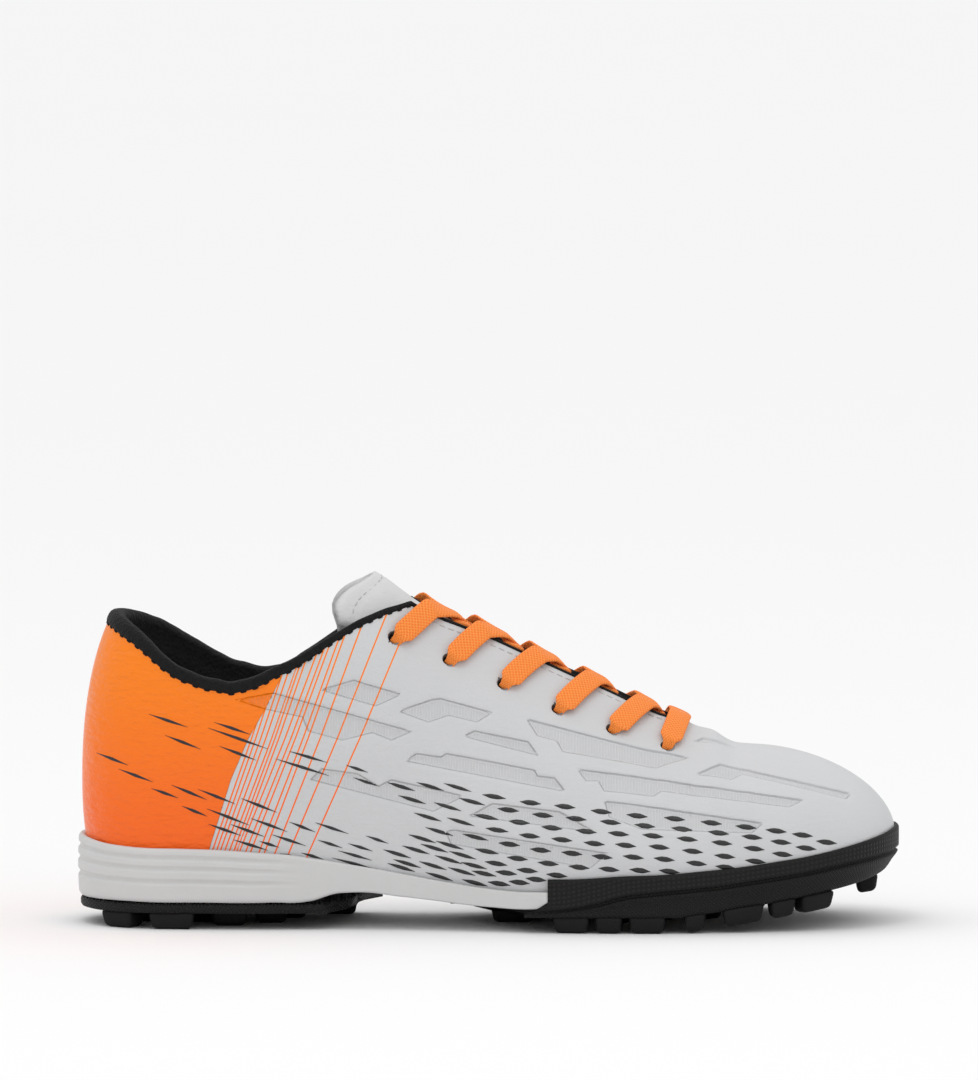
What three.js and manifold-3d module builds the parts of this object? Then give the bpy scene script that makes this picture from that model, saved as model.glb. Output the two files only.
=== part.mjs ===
// Turf shoe for the right foot: low-cut, laced, on a rubber sole with short lugs.
// Millimetres. +X runs to the toe, -Y to the outer side of the foot, +Z up, floor at Z = 0.
import * as THREE from "three";
import Module from "manifold-3d";
import { mergeVertices } from "three/addons/utils/BufferGeometryUtils.js";

const wasm = await Module();
wasm.setup();

// Last and upper
const shoeLength = 280;
const ballWidth = 95.5;
const heelWidth = 67;
const instepHeight = 112.5;
const toeHeight = 60;
const heelCollarHeight = 109;
const collarDipHeight = 84.5;
const upperWall = 2;
const featherInset = 4.5;

// Opening for the laces
const throatEndFromHeel = 208.5;
const throatGap = 22;
const eyeletCount = 6;
const eyeletPitch = 18.5;
const lastEyeletBeforeThroatEnd = 8;
const eyeletDiameter = 4.6;
const eyeletFromEdge = 16;

// Inside pieces
const tongueThickness = 4.6;
const tongueWidth = 48;
const tongueBulge = 2.6;
const insoleThickness = 4.6;
const collarPadThickness = 4.8;
const collarPadDrop = 34;
const collarPadRise = 2.4;

// Sole
const lugHeight = 5.5;
const heelPlateThickness = 3.4;
const forefootPlateThickness = 2.6;
const heelBed = 20;
const ballBed = 12;
const toeSpring = 11;
const rimStep = 1.3;
const cupWall = 3.2;
const sideGrooveDepth = 0.9;
const sideGrooveHeight = 1.5;
const shankPanelDepth = 0.8;
const lugWidth = 12;
const lugDraft = 0.8;
const plateInset = 0.9;
const plateBevel = 1.2;
const rimBevel = 0.5;
const toeUndercut = 4.5;

// Lace
const laceWidth = 7;
const laceThickness = 1.4;
const laceTuck = 4.6;
const laceDip = 0.1;
const laceRise = 1;
const laceBarBow = 4;

// Fits
const seamGap = 0.3;
const laceClearance = 0.8;

// Places along the shoe, as shares of its length from the heel
const heelAxisAt = 0.125;
const toeAxisAt = 0.82;
const collarFrontAt = 0.409;
const tongueTopAt = 0.357;
const throatEndAt = throatEndFromHeel / shoeLength;
const throatRoundAt = throatEndAt - throatGap / 3 / shoeLength;

// Roundness of the outline in plan at each end, 2 being an ellipse
const toeRoundness = 2.08;
const heelRoundness = 2.15;

// Outline of the sole: half widths as shares of the local width, and the middle line's shift.
const outlineRows = [
  { at: 0.0, outer: 0.5, inner: 0.5, middle: 0.0 },
  { at: 0.125, outer: 0.5, inner: 0.5, middle: 0.0 },
  { at: 0.214, outer: 0.515, inner: 0.485, middle: 0.004 },
  { at: 0.321, outer: 0.49, inner: 0.415, middle: 0.012 },
  { at: 0.429, outer: 0.475, inner: 0.345, middle: 0.022 },
  { at: 0.5, outer: 0.466, inner: 0.345, middle: 0.03 },
  { at: 0.571, outer: 0.482, inner: 0.392, middle: 0.036 },
  { at: 0.661, outer: 0.503, inner: 0.466, middle: 0.044 },
  { at: 0.714, outer: 0.503, inner: 0.492, middle: 0.046 },
  { at: 0.77, outer: 0.488, inner: 0.503, middle: 0.043 },
  { at: 0.82, outer: 0.468, inner: 0.498, middle: 0.038 },
  { at: 1.0, outer: 0.455, inner: 0.495, middle: 0.038 },
];

// Local width: how far each place has gone from the heel's width to the ball's.
const widthRows = [
  { at: 0.0, ball: 0 },
  { at: 0.214, ball: 0 },
  { at: 0.321, ball: 0.1 },
  { at: 0.429, ball: 0.45 },
  { at: 0.5, ball: 0.78 },
  { at: 0.571, ball: 0.95 },
  { at: 0.661, ball: 1 },
  { at: 1.0, ball: 1 },
];

// Upper: crown height as shares of the instep and toe heights, how far the wall swells past the
// rim, the height of its widest place between bed and crown, and how square the section is on
// the outer and the inner side.
const upperRows = [
  { at: 0.0, instep: 1.093, toe: 0, swell: 0, widest: 0.27, outerSquare: 2.2, innerSquare: 2.2 },
  { at: 0.075, instep: 1.135, toe: 0, swell: 0, widest: 0.26, outerSquare: 2.2, innerSquare: 2.2 },
  { at: 0.125, instep: 1.23, toe: 0, swell: 0, widest: 0.24, outerSquare: 2.15, innerSquare: 2.15 },
  { at: 0.214, instep: 1.225, toe: 0, swell: 0.1, widest: 0.235, outerSquare: 2.15, innerSquare: 2.2 },
  { at: 0.271, instep: 1.185, toe: 0, swell: 0.3, widest: 0.235, outerSquare: 2.12, innerSquare: 2.3 },
  { at: 0.321, instep: 1.14, toe: 0, swell: 0.6, widest: 0.235, outerSquare: 2.02, innerSquare: 2.3 },
  { at: 0.357, instep: 1.1, toe: 0, swell: 0.8, widest: 0.235, outerSquare: 1.85, innerSquare: 2.19 },
  { at: 0.393, instep: 1.055, toe: 0, swell: 1, widest: 0.235, outerSquare: 1.62, innerSquare: 1.97 },
  { at: 0.429, instep: 1.01, toe: 0, swell: 1, widest: 0.235, outerSquare: 1.48, innerSquare: 1.85 },
  { at: 0.464, instep: 0.97, toe: 0, swell: 1, widest: 0.235, outerSquare: 1.42, innerSquare: 1.8 },
  { at: 0.5, instep: 0.926, toe: 0, swell: 1, widest: 0.23, outerSquare: 1.4, innerSquare: 1.72 },
  { at: 0.571, instep: 0.747, toe: 0.15, swell: 0.7, widest: 0.22, outerSquare: 1.4, innerSquare: 1.64 },
  { at: 0.641, instep: 0.531, toe: 0.385, swell: 0.3, widest: 0.21, outerSquare: 1.42, innerSquare: 1.6 },
  { at: 0.714, instep: 0.302, toe: 0.635, swell: 0, widest: 0.2, outerSquare: 1.52, innerSquare: 1.67 },
  { at: 0.77, instep: 0.13, toe: 0.84, swell: 0, widest: 0.215, outerSquare: 1.78, innerSquare: 1.9 },
  { at: 0.82, instep: 0, toe: 1, swell: 0, widest: 0.24, outerSquare: 1.95, innerSquare: 1.98 },
  { at: 1.0, instep: 0, toe: 1, swell: 0, widest: 0.2, outerSquare: 1.82, innerSquare: 1.82 },
];

// How far the wall stands past the rim at full swell, on the outer and inner side.
const outerSwell = 1.2;
const innerSwell = 3.4;

// Collar line: height from the dip (0) to the top of the padding behind the heel (1).
const collarRows = [
  { at: 0.0, outer: 0.82, inner: 0.82 },
  { at: 0.0345, outer: 0.69, inner: 0.76 },
  { at: 0.075, outer: 0.49, inner: 0.66 },
  { at: 0.105, outer: 0.27, inner: 0.55 },
  { at: 0.14, outer: 0.07, inner: 0.35 },
  { at: 0.172, outer: -0.03, inner: 0.14 },
  { at: 0.2, outer: -0.04, inner: 0.02 },
  { at: 0.242, outer: 0.15, inner: -0.02 },
  { at: 0.271, outer: 0.31, inner: 0.16 },
  { at: 0.321, outer: 0.65, inner: 0.56 },
  { at: 0.36, outer: 0.87, inner: 0.85 },
  { at: 0.393, outer: 0.985, inner: 0.98 },
  { at: 0.43, outer: 1.1, inner: 1.1 },
  { at: 1.0, outer: 3, inner: 3 },
];

// Footbed: height as shares of the heel's and the ball's bed, and of the toe spring.
const bedRows = [
  { at: 0.0, heel: 1.02, ball: 0, spring: 0 },
  { at: 0.125, heel: 1, ball: 0, spring: 0 },
  { at: 0.214, heel: 0.95, ball: 0, spring: 0 },
  { at: 0.321, heel: 0.72, ball: 0.23, spring: 0 },
  { at: 0.429, heel: 0.36, ball: 0.62, spring: 0 },
  { at: 0.5, heel: 0.12, ball: 0.84, spring: 0 },
  { at: 0.571, heel: 0, ball: 0.97, spring: 0 },
  { at: 0.661, heel: 0, ball: 1, spring: 0 },
  { at: 0.75, heel: 0, ball: 1, spring: 0.08 },
  { at: 0.857, heel: 0, ball: 1, spring: 0.38 },
  { at: 0.929, heel: 0, ball: 1, spring: 0.68 },
  { at: 1.0, heel: 0, ball: 1, spring: 1 },
];

// Underside of the rubber plates: how much of the toe spring they have risen by.
const springRows = [
  { at: 0.0, spring: 0 },
  { at: 0.714, spring: 0 },
  { at: 0.757, spring: 0.1 },
  { at: 0.814, spring: 0.3 },
  { at: 0.857, spring: 0.47 },
  { at: 0.9, spring: 0.64 },
  { at: 0.957, spring: 0.86 },
  { at: 1.0, spring: 1.04 },
];

// Top edge of the sole over the footbed, and underside of the midsole below it, as shares of the
// heel's bed height, on the outer and the inner side.
const rimRows = [
  { at: 0.0, rimOuter: 0.5, rimInner: 0.5, underOuter: 0.55, underInner: 0.55 },
  { at: 0.05, rimOuter: 0.4, rimInner: 0.4, underOuter: 0.54, underInner: 0.54 },
  { at: 0.125, rimOuter: 0.385, rimInner: 0.4, underOuter: 0.535, underInner: 0.535 },
  { at: 0.243, rimOuter: 0.37, rimInner: 0.4, underOuter: 0.46, underInner: 0.46 },
  { at: 0.285, rimOuter: 0.33, rimInner: 0.4, underOuter: 0.4, underInner: 0.42 },
  { at: 0.321, rimOuter: 0.29, rimInner: 0.42, underOuter: 0.225, underInner: 0.38 },
  { at: 0.393, rimOuter: 0.2, rimInner: 0.4, underOuter: 0.2, underInner: 0.28 },
  { at: 0.464, rimOuter: 0.14, rimInner: 0.3, underOuter: 0.2, underInner: 0.2 },
  { at: 0.56, rimOuter: 0.12, rimInner: 0.2, underOuter: 0.18, underInner: 0.18 },
  { at: 1.0, rimOuter: 0.12, rimInner: 0.2, underOuter: 0.18, underInner: 0.18 },
];

// Top edge of the forefoot cup over its footbed, and the groove along its side between the
// plate's underside (0) and that edge (1).
const cupRows = [
  { at: 0.5, rim: 0.32, groove: 0.1 },
  { at: 0.571, rim: 0.34, groove: 0.12 },
  { at: 0.63, rim: 0.37, groove: 0.32 },
  { at: 0.68, rim: 0.395, groove: 0.52 },
  { at: 0.78, rim: 0.42, groove: 0.57 },
  { at: 0.88, rim: 0.43, groove: 0.58 },
  { at: 0.95, rim: 0.45, groove: 0.57 },
  { at: 1.0, rim: 0.5, groove: 0.5 },
];

// Three grooves round the heel of the midsole, between its underside (0) and its rim (1).
const sideGrooves = [0.38, 0.62, 0.82];
const groovesFadeFromAt = 0.2;
const groovesEndAt = 0.285;

// Shank panel under the arch: from and to along the shoe, and its top edge as a share of the side.
const shankRows = [
  { at: 0.3, top: 0 },
  { at: 0.322, top: 0.55 },
  { at: 0.37, top: 0.62 },
  { at: 0.46, top: 0.45 },
  { at: 0.56, top: 0.3 },
  { at: 1.0, top: 0.3 },
];
const shankFromAt = 0.305;

// Ends of the two rubber plates, from the outer edge across to the inner edge.
const heelPlateFront = [
  { across: -1, at: 0.285 },
  { across: -0.4, at: 0.3 },
  { across: 0.3, at: 0.345 },
  { across: 1, at: 0.382 },
];
const forefootPlateBack = [
  { across: -1, at: 0.57 },
  { across: -0.35, at: 0.5 },
  { across: 0.1, at: 0.475 },
  { across: 0.5, at: 0.49 },
  { across: 1, at: 0.55 },
];

// Lugs along the edge: from and to along the shoe, side -1 outer or +1 inner.
const edgeLugs = [
  { side: -1, from: 0.024, to: 0.064 },
  { side: -1, from: 0.085, to: 0.144 },
  { side: 1, from: 0.024, to: 0.064 },
  { side: 1, from: 0.085, to: 0.144 },
  { side: 1, from: 0.16, to: 0.215 },
  { side: 1, from: 0.23, to: 0.28 },
  { side: 1, from: 0.295, to: 0.34 },
  { side: -1, from: 0.576, to: 0.622 },
  { side: -1, from: 0.627, to: 0.662 },
  { side: -1, from: 0.668, to: 0.714 },
  { side: -1, from: 0.735, to: 0.763 },
  { side: -1, from: 0.781, to: 0.834 },
  { side: -1, from: 0.841, to: 0.876 },
  { side: -1, from: 0.882, to: 0.928 },
  { side: 1, from: 0.572, to: 0.615 },
  { side: 1, from: 0.624, to: 0.664 },
  { side: 1, from: 0.673, to: 0.722 },
  { side: 1, from: 0.735, to: 0.77 },
  { side: 1, from: 0.782, to: 0.834 },
  { side: 1, from: 0.843, to: 0.88 },
  { side: 1, from: 0.888, to: 0.93 },
];

// Lugs inside the edge: place along and across the shoe, with lengths as shares of the lug width.
const innerLugs = [
  { at: 0.09, across: 0, long: 1.4, wide: 1 },
  { at: 0.15, across: -0.1, long: 0.9, wide: 1 },
  { at: 0.185, across: -0.48, long: 1.1, wide: 0.9 },
  { at: 0.235, across: -0.2, long: 1, wide: 0.9 },
  { at: 0.26, across: 0.3, long: 0.9, wide: 0.9 },
  { at: 0.53, across: -0.24, long: 1.3, wide: 0.9 },
  { at: 0.53, across: 0.3, long: 1.1, wide: 0.9 },
  { at: 0.6, across: 0.02, long: 1, wide: 0.9 },
  { at: 0.655, across: -0.3, long: 1, wide: 0.8 },
  { at: 0.655, across: 0.28, long: 1, wide: 0.8 },
  { at: 0.71, across: 0.02, long: 1, wide: 0.9 },
  { at: 0.765, across: -0.28, long: 1, wide: 0.8 },
  { at: 0.765, across: 0.26, long: 1, wide: 0.8 },
  { at: 0.82, across: 0.02, long: 1, wide: 0.9 },
  { at: 0.87, across: -0.26, long: 0.8, wide: 0.7 },
  { at: 0.87, across: 0.24, long: 0.8, wide: 0.7 },
  { at: 0.961, across: 0, long: 0.65, wide: 1 },
];

// Tongue: depth under the skin of the last as shares of the wall and seam, its half width, its
// thickness, how far it arches up in the lace opening, and how far its wings sweep back.
const tongueRows = [
  { at: 0.28, depth: 3.4, width: 1, thickness: 1, bulge: 2, sweep: 0.5 },
  { at: 0.321, depth: 2.7, width: 1, thickness: 1, bulge: 2, sweep: 0.5 },
  { at: 0.357, depth: 2.1, width: 1, thickness: 1, bulge: 1.9, sweep: 0.5 },
  { at: 0.393, depth: 1.75, width: 1, thickness: 1, bulge: 1.5, sweep: 0.42 },
  { at: 0.44, depth: 1.3, width: 1, thickness: 1, bulge: 0.7, sweep: 0.3 },
  { at: 0.48, depth: 1.25, width: 1, thickness: 1, bulge: 0.6, sweep: 0.1 },
  { at: 0.58, depth: 1.25, width: 0.92, thickness: 0.9, bulge: 0.6, sweep: 0 },
  { at: 0.7, depth: 1.25, width: 0.78, thickness: 0.65, bulge: 0.5, sweep: 0 },
  { at: 0.8, depth: 1.25, width: 0.66, thickness: 0.45, bulge: 0, sweep: 0 },
];

// Collar padding along the collar: its thickness, and its rise over the edge, as shares.
const padRows = [
  { at: 0.0, thickness: 1.35, rise: 1.5 },
  { at: 0.05, thickness: 1.2, rise: 1.45 },
  { at: 0.1, thickness: 1, rise: 1.25 },
  { at: 0.24, thickness: 1, rise: 1.1 },
  { at: 0.285, thickness: 0.8, rise: 1 },
  { at: 0.321, thickness: 0.55, rise: 1 },
  { at: 0.36, thickness: 0.34, rise: 0.9 },
  { at: 0.4, thickness: 0.24, rise: 0.8 },
  { at: 1.0, thickness: 0.24, rise: 0.8 },
];

// Eyelets from the toe end up: distance from the opening's edge as shares of the named one, and
// for the lace's crossings from the toe up, how far ahead of its eyelet a band comes out from
// under the edge, as shares of the pitch.
const eyeletLine = [1.15, 1.22, 1.2, 1.1, 0.98, 0.72];
const laceLead = [-0.2, -0.06, 0.07, 0.2, 0.28];
const laceBend = 1.27;

// Facets
const lowSteps = 3;
const highSteps = 7;
const toeFanSteps = 10;
const heelFanSteps = 10;
const collarSteps = 9;
const throatSteps = 9;
const roundSteps = 4;
const vampSteps = 4;
const tongueSteps = 16;
const tongueAcross = 5;
const laceSteps = 4;
const padSteps = 4;
const eyeletSides = 10;
const degenerate = 1e-5;
const smallestEdge = 0.02;

const clamp = THREE.MathUtils.clamp;
const lerp = THREE.MathUtils.lerp;
const vec = (x, y, z) => new THREE.Vector3(x, y, z);

// Smooth curve through one column of a table, held level beyond its ends.
function sample(rows, column, at) {
  const last = rows.length - 1;
  const a = clamp(at, rows[0].at, rows[last].at);
  let i = 0;
  while (i < last - 1 && rows[i + 1].at < a) i += 1;
  const slope = (k) => {
    const low = rows[Math.max(k - 1, 0)];
    const high = rows[Math.min(k + 1, last)];
    return (high[column] - low[column]) / (high.at - low.at);
  };
  const span = rows[i + 1].at - rows[i].at;
  const t = (a - rows[i].at) / span;
  const left = rows[i][column] + slope(i) * span * t;
  const right = rows[i + 1][column] - slope(i + 1) * span * (1 - t);
  return lerp(left, right, t * t * (3 - 2 * t));
}

const xAt = (at) => (at - 0.5) * shoeLength;
const atX = (x) => x / shoeLength + 0.5;
const sideName = (side, outer, inner) => (side < 0 ? outer : inner);
const localWidth = (at) => lerp(heelWidth, ballWidth, sample(widthRows, "ball", at));
const middleY = (at) => sample(outlineRows, "middle", at) * ballWidth;

// Reach of the sole's outline from the middle line, square to it.
function sideReach(side, at) {
  const share = sample(outlineRows, sideName(side, "outer", "inner"), at);
  return share * localWidth(at) - side * middleY(at);
}

// Heights
function bedHeight(at) {
  const heel = sample(bedRows, "heel", at) * heelBed;
  const ball = sample(bedRows, "ball", at) * ballBed;
  return heel + ball + sample(bedRows, "spring", at) * toeSpring;
}

function crownHeight(at) {
  return sample(upperRows, "instep", at) * instepHeight + sample(upperRows, "toe", at) * toeHeight;
}

function rimHeight(side, at) {
  return bedHeight(at) + sample(rimRows, sideName(side, "rimOuter", "rimInner"), at) * heelBed;
}

function underHeight(side, at) {
  return bedHeight(at) - sample(rimRows, sideName(side, "underOuter", "underInner"), at) * heelBed;
}

const plateUnder = (at) => lugHeight + sample(springRows, "spring", at) * toeSpring;
const forefootPlateTop = (at) => plateUnder(at) + forefootPlateThickness;
const cupRim = (at) => bedHeight(at) + sample(cupRows, "rim", at) * heelBed;

function collarHeight(side, at) {
  const share = sample(collarRows, sideName(side, "outer", "inner"), at);
  return lerp(collarDipHeight, heelCollarHeight, share);
}

// A station is a vertical half plane that starts at the middle line and looks outward.
function sideStation(side, at) {
  const reach = sideReach(side, at);
  return { side, at, axisAt: at, crownAt: at, x: xAt(at), y: middleY(at), dx: 0, dy: side, reach };
}

// Half planes that turn about an axis at the toe (forward 1) or heel (forward -1).
function fanStation(axisAt, forward, roundness, turn) {
  const side = turn < 0 ? -1 : 1;
  const endReach = (forward > 0 ? 1 - axisAt : axisAt) * shoeLength;
  const along = Math.pow(Math.abs(Math.cos(turn)), 2 / roundness) * endReach;
  const across = Math.pow(Math.abs(Math.sin(turn)), 2 / roundness) * sideReach(side, axisAt);
  const reach = Math.hypot(along, across);
  const at = axisAt + forward * along / shoeLength;
  return {
    side, at, axisAt, crownAt: forward > 0 ? axisAt : at,
    x: xAt(axisAt), y: middleY(axisAt), dx: forward * along / reach, dy: side * across / reach, reach,
  };
}

function steps(from, to, count) {
  return Array.from({ length: count }, (_, i) => lerp(from, to, (i + 1) / count));
}

function sideAts() {
  const round = steps(0, Math.PI / 2, roundSteps);
  return [
    heelAxisAt,
    ...steps(heelAxisAt, collarFrontAt, collarSteps),
    ...steps(collarFrontAt, throatRoundAt, throatSteps),
    ...round.map((turn) => lerp(throatRoundAt, throatEndAt, Math.sin(turn))),
    ...steps(throatEndAt, toeAxisAt, vampSteps),
  ];
}

// All stations in order: outer side to the toe, round it, back on the inner side, round the heel.
function allStations() {
  const ats = sideAts();
  const quarter = Math.PI / 2;
  const toe = steps(-quarter, quarter, toeFanSteps).slice(0, -1);
  const heel = steps(quarter, -quarter, heelFanSteps).slice(0, -1);
  return [
    ...ats.map((at) => sideStation(-1, at)),
    ...toe.map((turn) => fanStation(toeAxisAt, 1, toeRoundness, turn)),
    ...ats.slice().reverse().map((at) => sideStation(1, at)),
    ...heel.map((turn) => fanStation(heelAxisAt, -1, heelRoundness, turn)),
  ];
}

const stations = allStations();

// Sizes of the last's section at one station.
function sectionOf(station) {
  const swell = sample(upperRows, "swell", station.at) * (station.side < 0 ? outerSwell : innerSwell);
  const widest = station.reach - rimStep + swell;
  const bottom = bedHeight(station.at) + seamGap;
  const crown = crownHeight(station.crownAt);
  const waist = bottom + sample(upperRows, "widest", station.at) * (crown - bottom);
  const square = sample(upperRows, sideName(station.side, "outerSquare", "innerSquare"), station.at);
  return { widest, feather: widest - featherInset, bottom, crown, waist, square };
}

// Point of the last's skin. Level 0 to 1 runs from the feather edge to the widest place,
// 1 to 2 from there over to the crown. Depth goes inward, square to the section.
function skin(station, level, depth) {
  const s = sectionOf(station);
  let r, z, nr, nz;
  if (level <= 1) {
    const turn = level * Math.PI / 2;
    r = s.feather + featherInset * Math.sin(turn);
    z = s.bottom + (s.waist - s.bottom) * (1 - Math.cos(turn));
    nr = (s.waist - s.bottom) * Math.sin(turn);
    nz = -featherInset * Math.cos(turn);
  } else {
    const turn = (level - 1) * Math.PI / 2;
    const across = Math.pow(Math.max(Math.cos(turn), 0), 2 / s.square);
    const up = Math.pow(Math.sin(turn), 2 / s.square);
    const rise = s.crown - s.waist;
    r = level >= 2 ? 0 : s.widest * across;
    z = s.waist + rise * up;
    nr = level >= 2 ? 0 : Math.pow(across, s.square - 1) / s.widest;
    nz = Math.pow(up, s.square - 1) / rise;
  }
  const size = Math.hypot(nr, nz);
  r = Math.max(r - depth * nr / size, 0);
  z -= depth * nz / size;
  return vec(station.x + station.dx * r, station.y + station.dy * r, z);
}

// Level at which the section is a given distance out from the middle, or at a given height.
function levelAtReach(station, distance) {
  const s = sectionOf(station);
  const share = clamp(distance / s.widest, 0, 1);
  return 1 + Math.acos(Math.pow(share, s.square / 2)) / (Math.PI / 2);
}

function levelAtHeight(station, height) {
  const s = sectionOf(station);
  const share = clamp((height - s.waist) / (s.crown - s.waist), 0, 1);
  return 1 + Math.asin(Math.pow(share, s.square / 2)) / (Math.PI / 2);
}

// Level that lies a given length of skin below (or, if negative, above) another level.
function levelBelow(station, level, length) {
  const step = 0.004 * Math.sign(length);
  let left = Math.abs(length);
  let here = level;
  let point = skin(station, here, 0);
  while (left > 0 && here > 1 && here < 2) {
    const next = skin(station, here - step, 0);
    left -= next.distanceTo(point);
    here -= step;
    point = next;
  }
  return clamp(here, 1, 2);
}

// Half of the opening between the two lace edges, with a round end towards the toe.
function halfThroat(at) {
  if (at >= throatEndAt - degenerate) return 0;
  const narrow = lerp(1, 0.68, clamp((at - collarFrontAt) / (throatEndAt - collarFrontAt), 0, 1));
  const half = throatGap / 2 * narrow;
  if (at <= throatRoundAt) return half;
  const share = (at - throatRoundAt) / (throatEndAt - throatRoundAt);
  return half * Math.sqrt(1 - share * share);
}

// Level at which the upper ends: at the collar, at the lace opening, or 2 where it is closed.
function trimLevel(station) {
  if (station.at >= throatEndAt - degenerate) return 2;
  const collar = levelAtHeight(station, collarHeight(station.side, station.at));
  return Math.min(collar, levelAtReach(station, halfThroat(station.at)));
}

// Closed solids from facets
function solidFrom(triangles) {
  const flat = new Float32Array(triangles.flatMap((t) => t.flatMap((p) => [p.x, p.y, p.z])));
  const geometry = new THREE.BufferGeometry();
  geometry.setAttribute("position", new THREE.BufferAttribute(flat, 3));
  return solidOf(geometry);
}

function solidOf(geometry) {
  const bare = geometry.clone();
  bare.deleteAttribute("normal");
  bare.deleteAttribute("uv");
  const merged = mergeVertices(bare, 1e-4);
  const index = Array.from(merged.index.array);
  const kept = [];
  for (let i = 0; i < index.length; i += 3) {
    const [a, b, c] = index.slice(i, i + 3);
    if (a !== b && b !== c && c !== a) kept.push(a, b, c);
  }
  const mesh = new wasm.Mesh({
    numProp: 3, vertProperties: new Float32Array(merged.attributes.position.array),
    triVerts: new Uint32Array(kept),
  });
  return new wasm.Manifold(mesh);
}

function quad(triangles, a, b, c, d) {
  triangles.push([a, b, c], [a, c, d]);
}

// Skin the space between rings of points. Each ring is a closed loop. The rings close on
// themselves too, or end in flat caps. The skip test leaves out a strip of one pair.
function loft(rings, closed, skip = () => false) {
  const triangles = [];
  const count = rings[0].length;
  const pairs = closed ? rings.length : rings.length - 1;
  for (let i = 0; i < pairs; i += 1) {
    const here = rings[i];
    const next = rings[(i + 1) % rings.length];
    for (let k = 0; k < count; k += 1) {
      const m = (k + 1) % count;
      if (!skip(i, k)) quad(triangles, here[k], here[m], next[m], next[k]);
    }
  }
  if (!closed) {
    cap(triangles, rings[0].slice().reverse());
    cap(triangles, rings[rings.length - 1]);
  }
  return outward(triangles);
}

function cap(triangles, ring) {
  const half = ring.length / 2;
  for (let k = 0; k < half - 1; k += 1) {
    const m = ring.length - 1 - k;
    quad(triangles, ring[k], ring[k + 1], ring[m - 1], ring[m]);
  }
}

// Turn the facets over if the solid would be inside out.
function outward(triangles) {
  const solid = solidFrom(triangles);
  if (solid.volume() > 0) return solid;
  return solidFrom(triangles.map(([a, b, c]) => [a, c, b]));
}

// Upper: a wall of even thickness between two skins of the last.
function upperLevels(trim) {
  return [
    0, ...steps(0, 1, lowSteps).slice(0, -1), 1, ...steps(1, trim, highSteps),
  ];
}

function upperShell() {
  const rings = stations.map((station) => {
    const levels = upperLevels(trimLevel(station));
    const outer = levels.map((level) => skin(station, level, 0));
    const inner = levels.map((level) => skin(station, level, upperWall));
    return [...outer, ...inner.reverse()];
  });
  const top = rings[0].length / 2 - 1;
  const closedAt = stations.map((station) => trimLevel(station) >= 2);
  const skip = (i, k) => k === top && closedAt[i] && closedAt[(i + 1) % stations.length];
  return loft(rings, true, skip);
}

// Filled form of the last, at a depth under its skin, or outside it when the depth is negative.
function filledLast(depth) {
  const levels = upperLevels(2);
  const triangles = [];
  const rows = stations.map((station) => {
    const points = levels.map((level) => skin(station, level, depth));
    const foot = vec(station.x, station.y, bedHeight(station.axisAt) + seamGap + depth);
    return [foot, ...points];
  });
  rows.forEach((row, i) => {
    const next = rows[(i + 1) % rows.length];
    for (let k = 0; k < row.length - 1; k += 1) {
      quad(triangles, row[k], row[k + 1], next[k + 1], next[k]);
    }
  });
  return outward(triangles);
}

// Layer of the sole with the outline's shape. The profile gives, for a station, the points of
// its side as inset and height, from bottom to top; low and high give the two heights midway.
function soleLayer(profile, low, high) {
  const triangles = [];
  const rows = stations.map((station) => {
    const side = profile(station).map(({ inset, z }) => {
      const r = station.reach - inset;
      return vec(station.x + station.dx * r, station.y + station.dy * r, z);
    });
    const foot = vec(station.x, station.y, low(station.axisAt));
    const head = vec(station.x, station.y, high(station.axisAt));
    return [foot, ...side, head];
  });
  rows.forEach((row, i) => {
    const next = rows[(i + 1) % rows.length];
    for (let k = 0; k < row.length - 1; k += 1) {
      quad(triangles, row[k], row[k + 1], next[k + 1], next[k]);
    }
  });
  return outward(triangles);
}

const plainSlab = (inset, low, high) => soleLayer(
  (station) => [{ inset, z: low(station.at) }, { inset, z: high(station.at) }], low, high);

// Upright prism over a plan outline, for parting the sole.
function prism(outline, low, high) {
  const shape = new THREE.Shape(outline.map(([x, y]) => new THREE.Vector2(x, y)));
  const geometry = new THREE.ExtrudeGeometry(shape, { depth: high - low, bevelEnabled: false });
  geometry.translate(0, 0, low);
  return solidOf(geometry);
}

// Everything that lies ahead of a front line, shifted along the shoe.
function aheadOf(line, shift) {
  const width = ballWidth;
  const edge = line.map(({ across, at }) => [xAt(at) + shift, across * width / 2]);
  const far = shoeLength;
  return prism([[far, -width], [far, width], [edge.at(-1)[0], width], ...edge.reverse(),
    [edge.at(-1)[0], -width]], -shoeLength / 4, shoeLength);
}

// Side of the midsole, with the grooves round the heel fading out towards the arch.
function midsoleSide(station) {
  const low = underHeight(station.side, station.at);
  const high = rimHeight(station.side, station.at);
  const fade = clamp((groovesEndAt - station.at) / (groovesEndAt - groovesFadeFromAt), 0, 1);
  const points = [{ inset: rimBevel, z: low }];
  sideGrooves.forEach((share) => {
    const z = lerp(low, high, share);
    points.push({ inset: 0, z: z - sideGrooveHeight / 2 });
    points.push({ inset: sideGrooveDepth * fade, z });
    points.push({ inset: 0, z: z + sideGrooveHeight / 2 });
  });
  points.push({ inset: rimBevel / 2, z: high });
  return points;
}

const meanOf = (height) => (at) => (height(-1, at) + height(1, at)) / 2;
const midsoleBlank = () => soleLayer(midsoleSide, meanOf(underHeight), meanOf(rimHeight));

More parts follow.
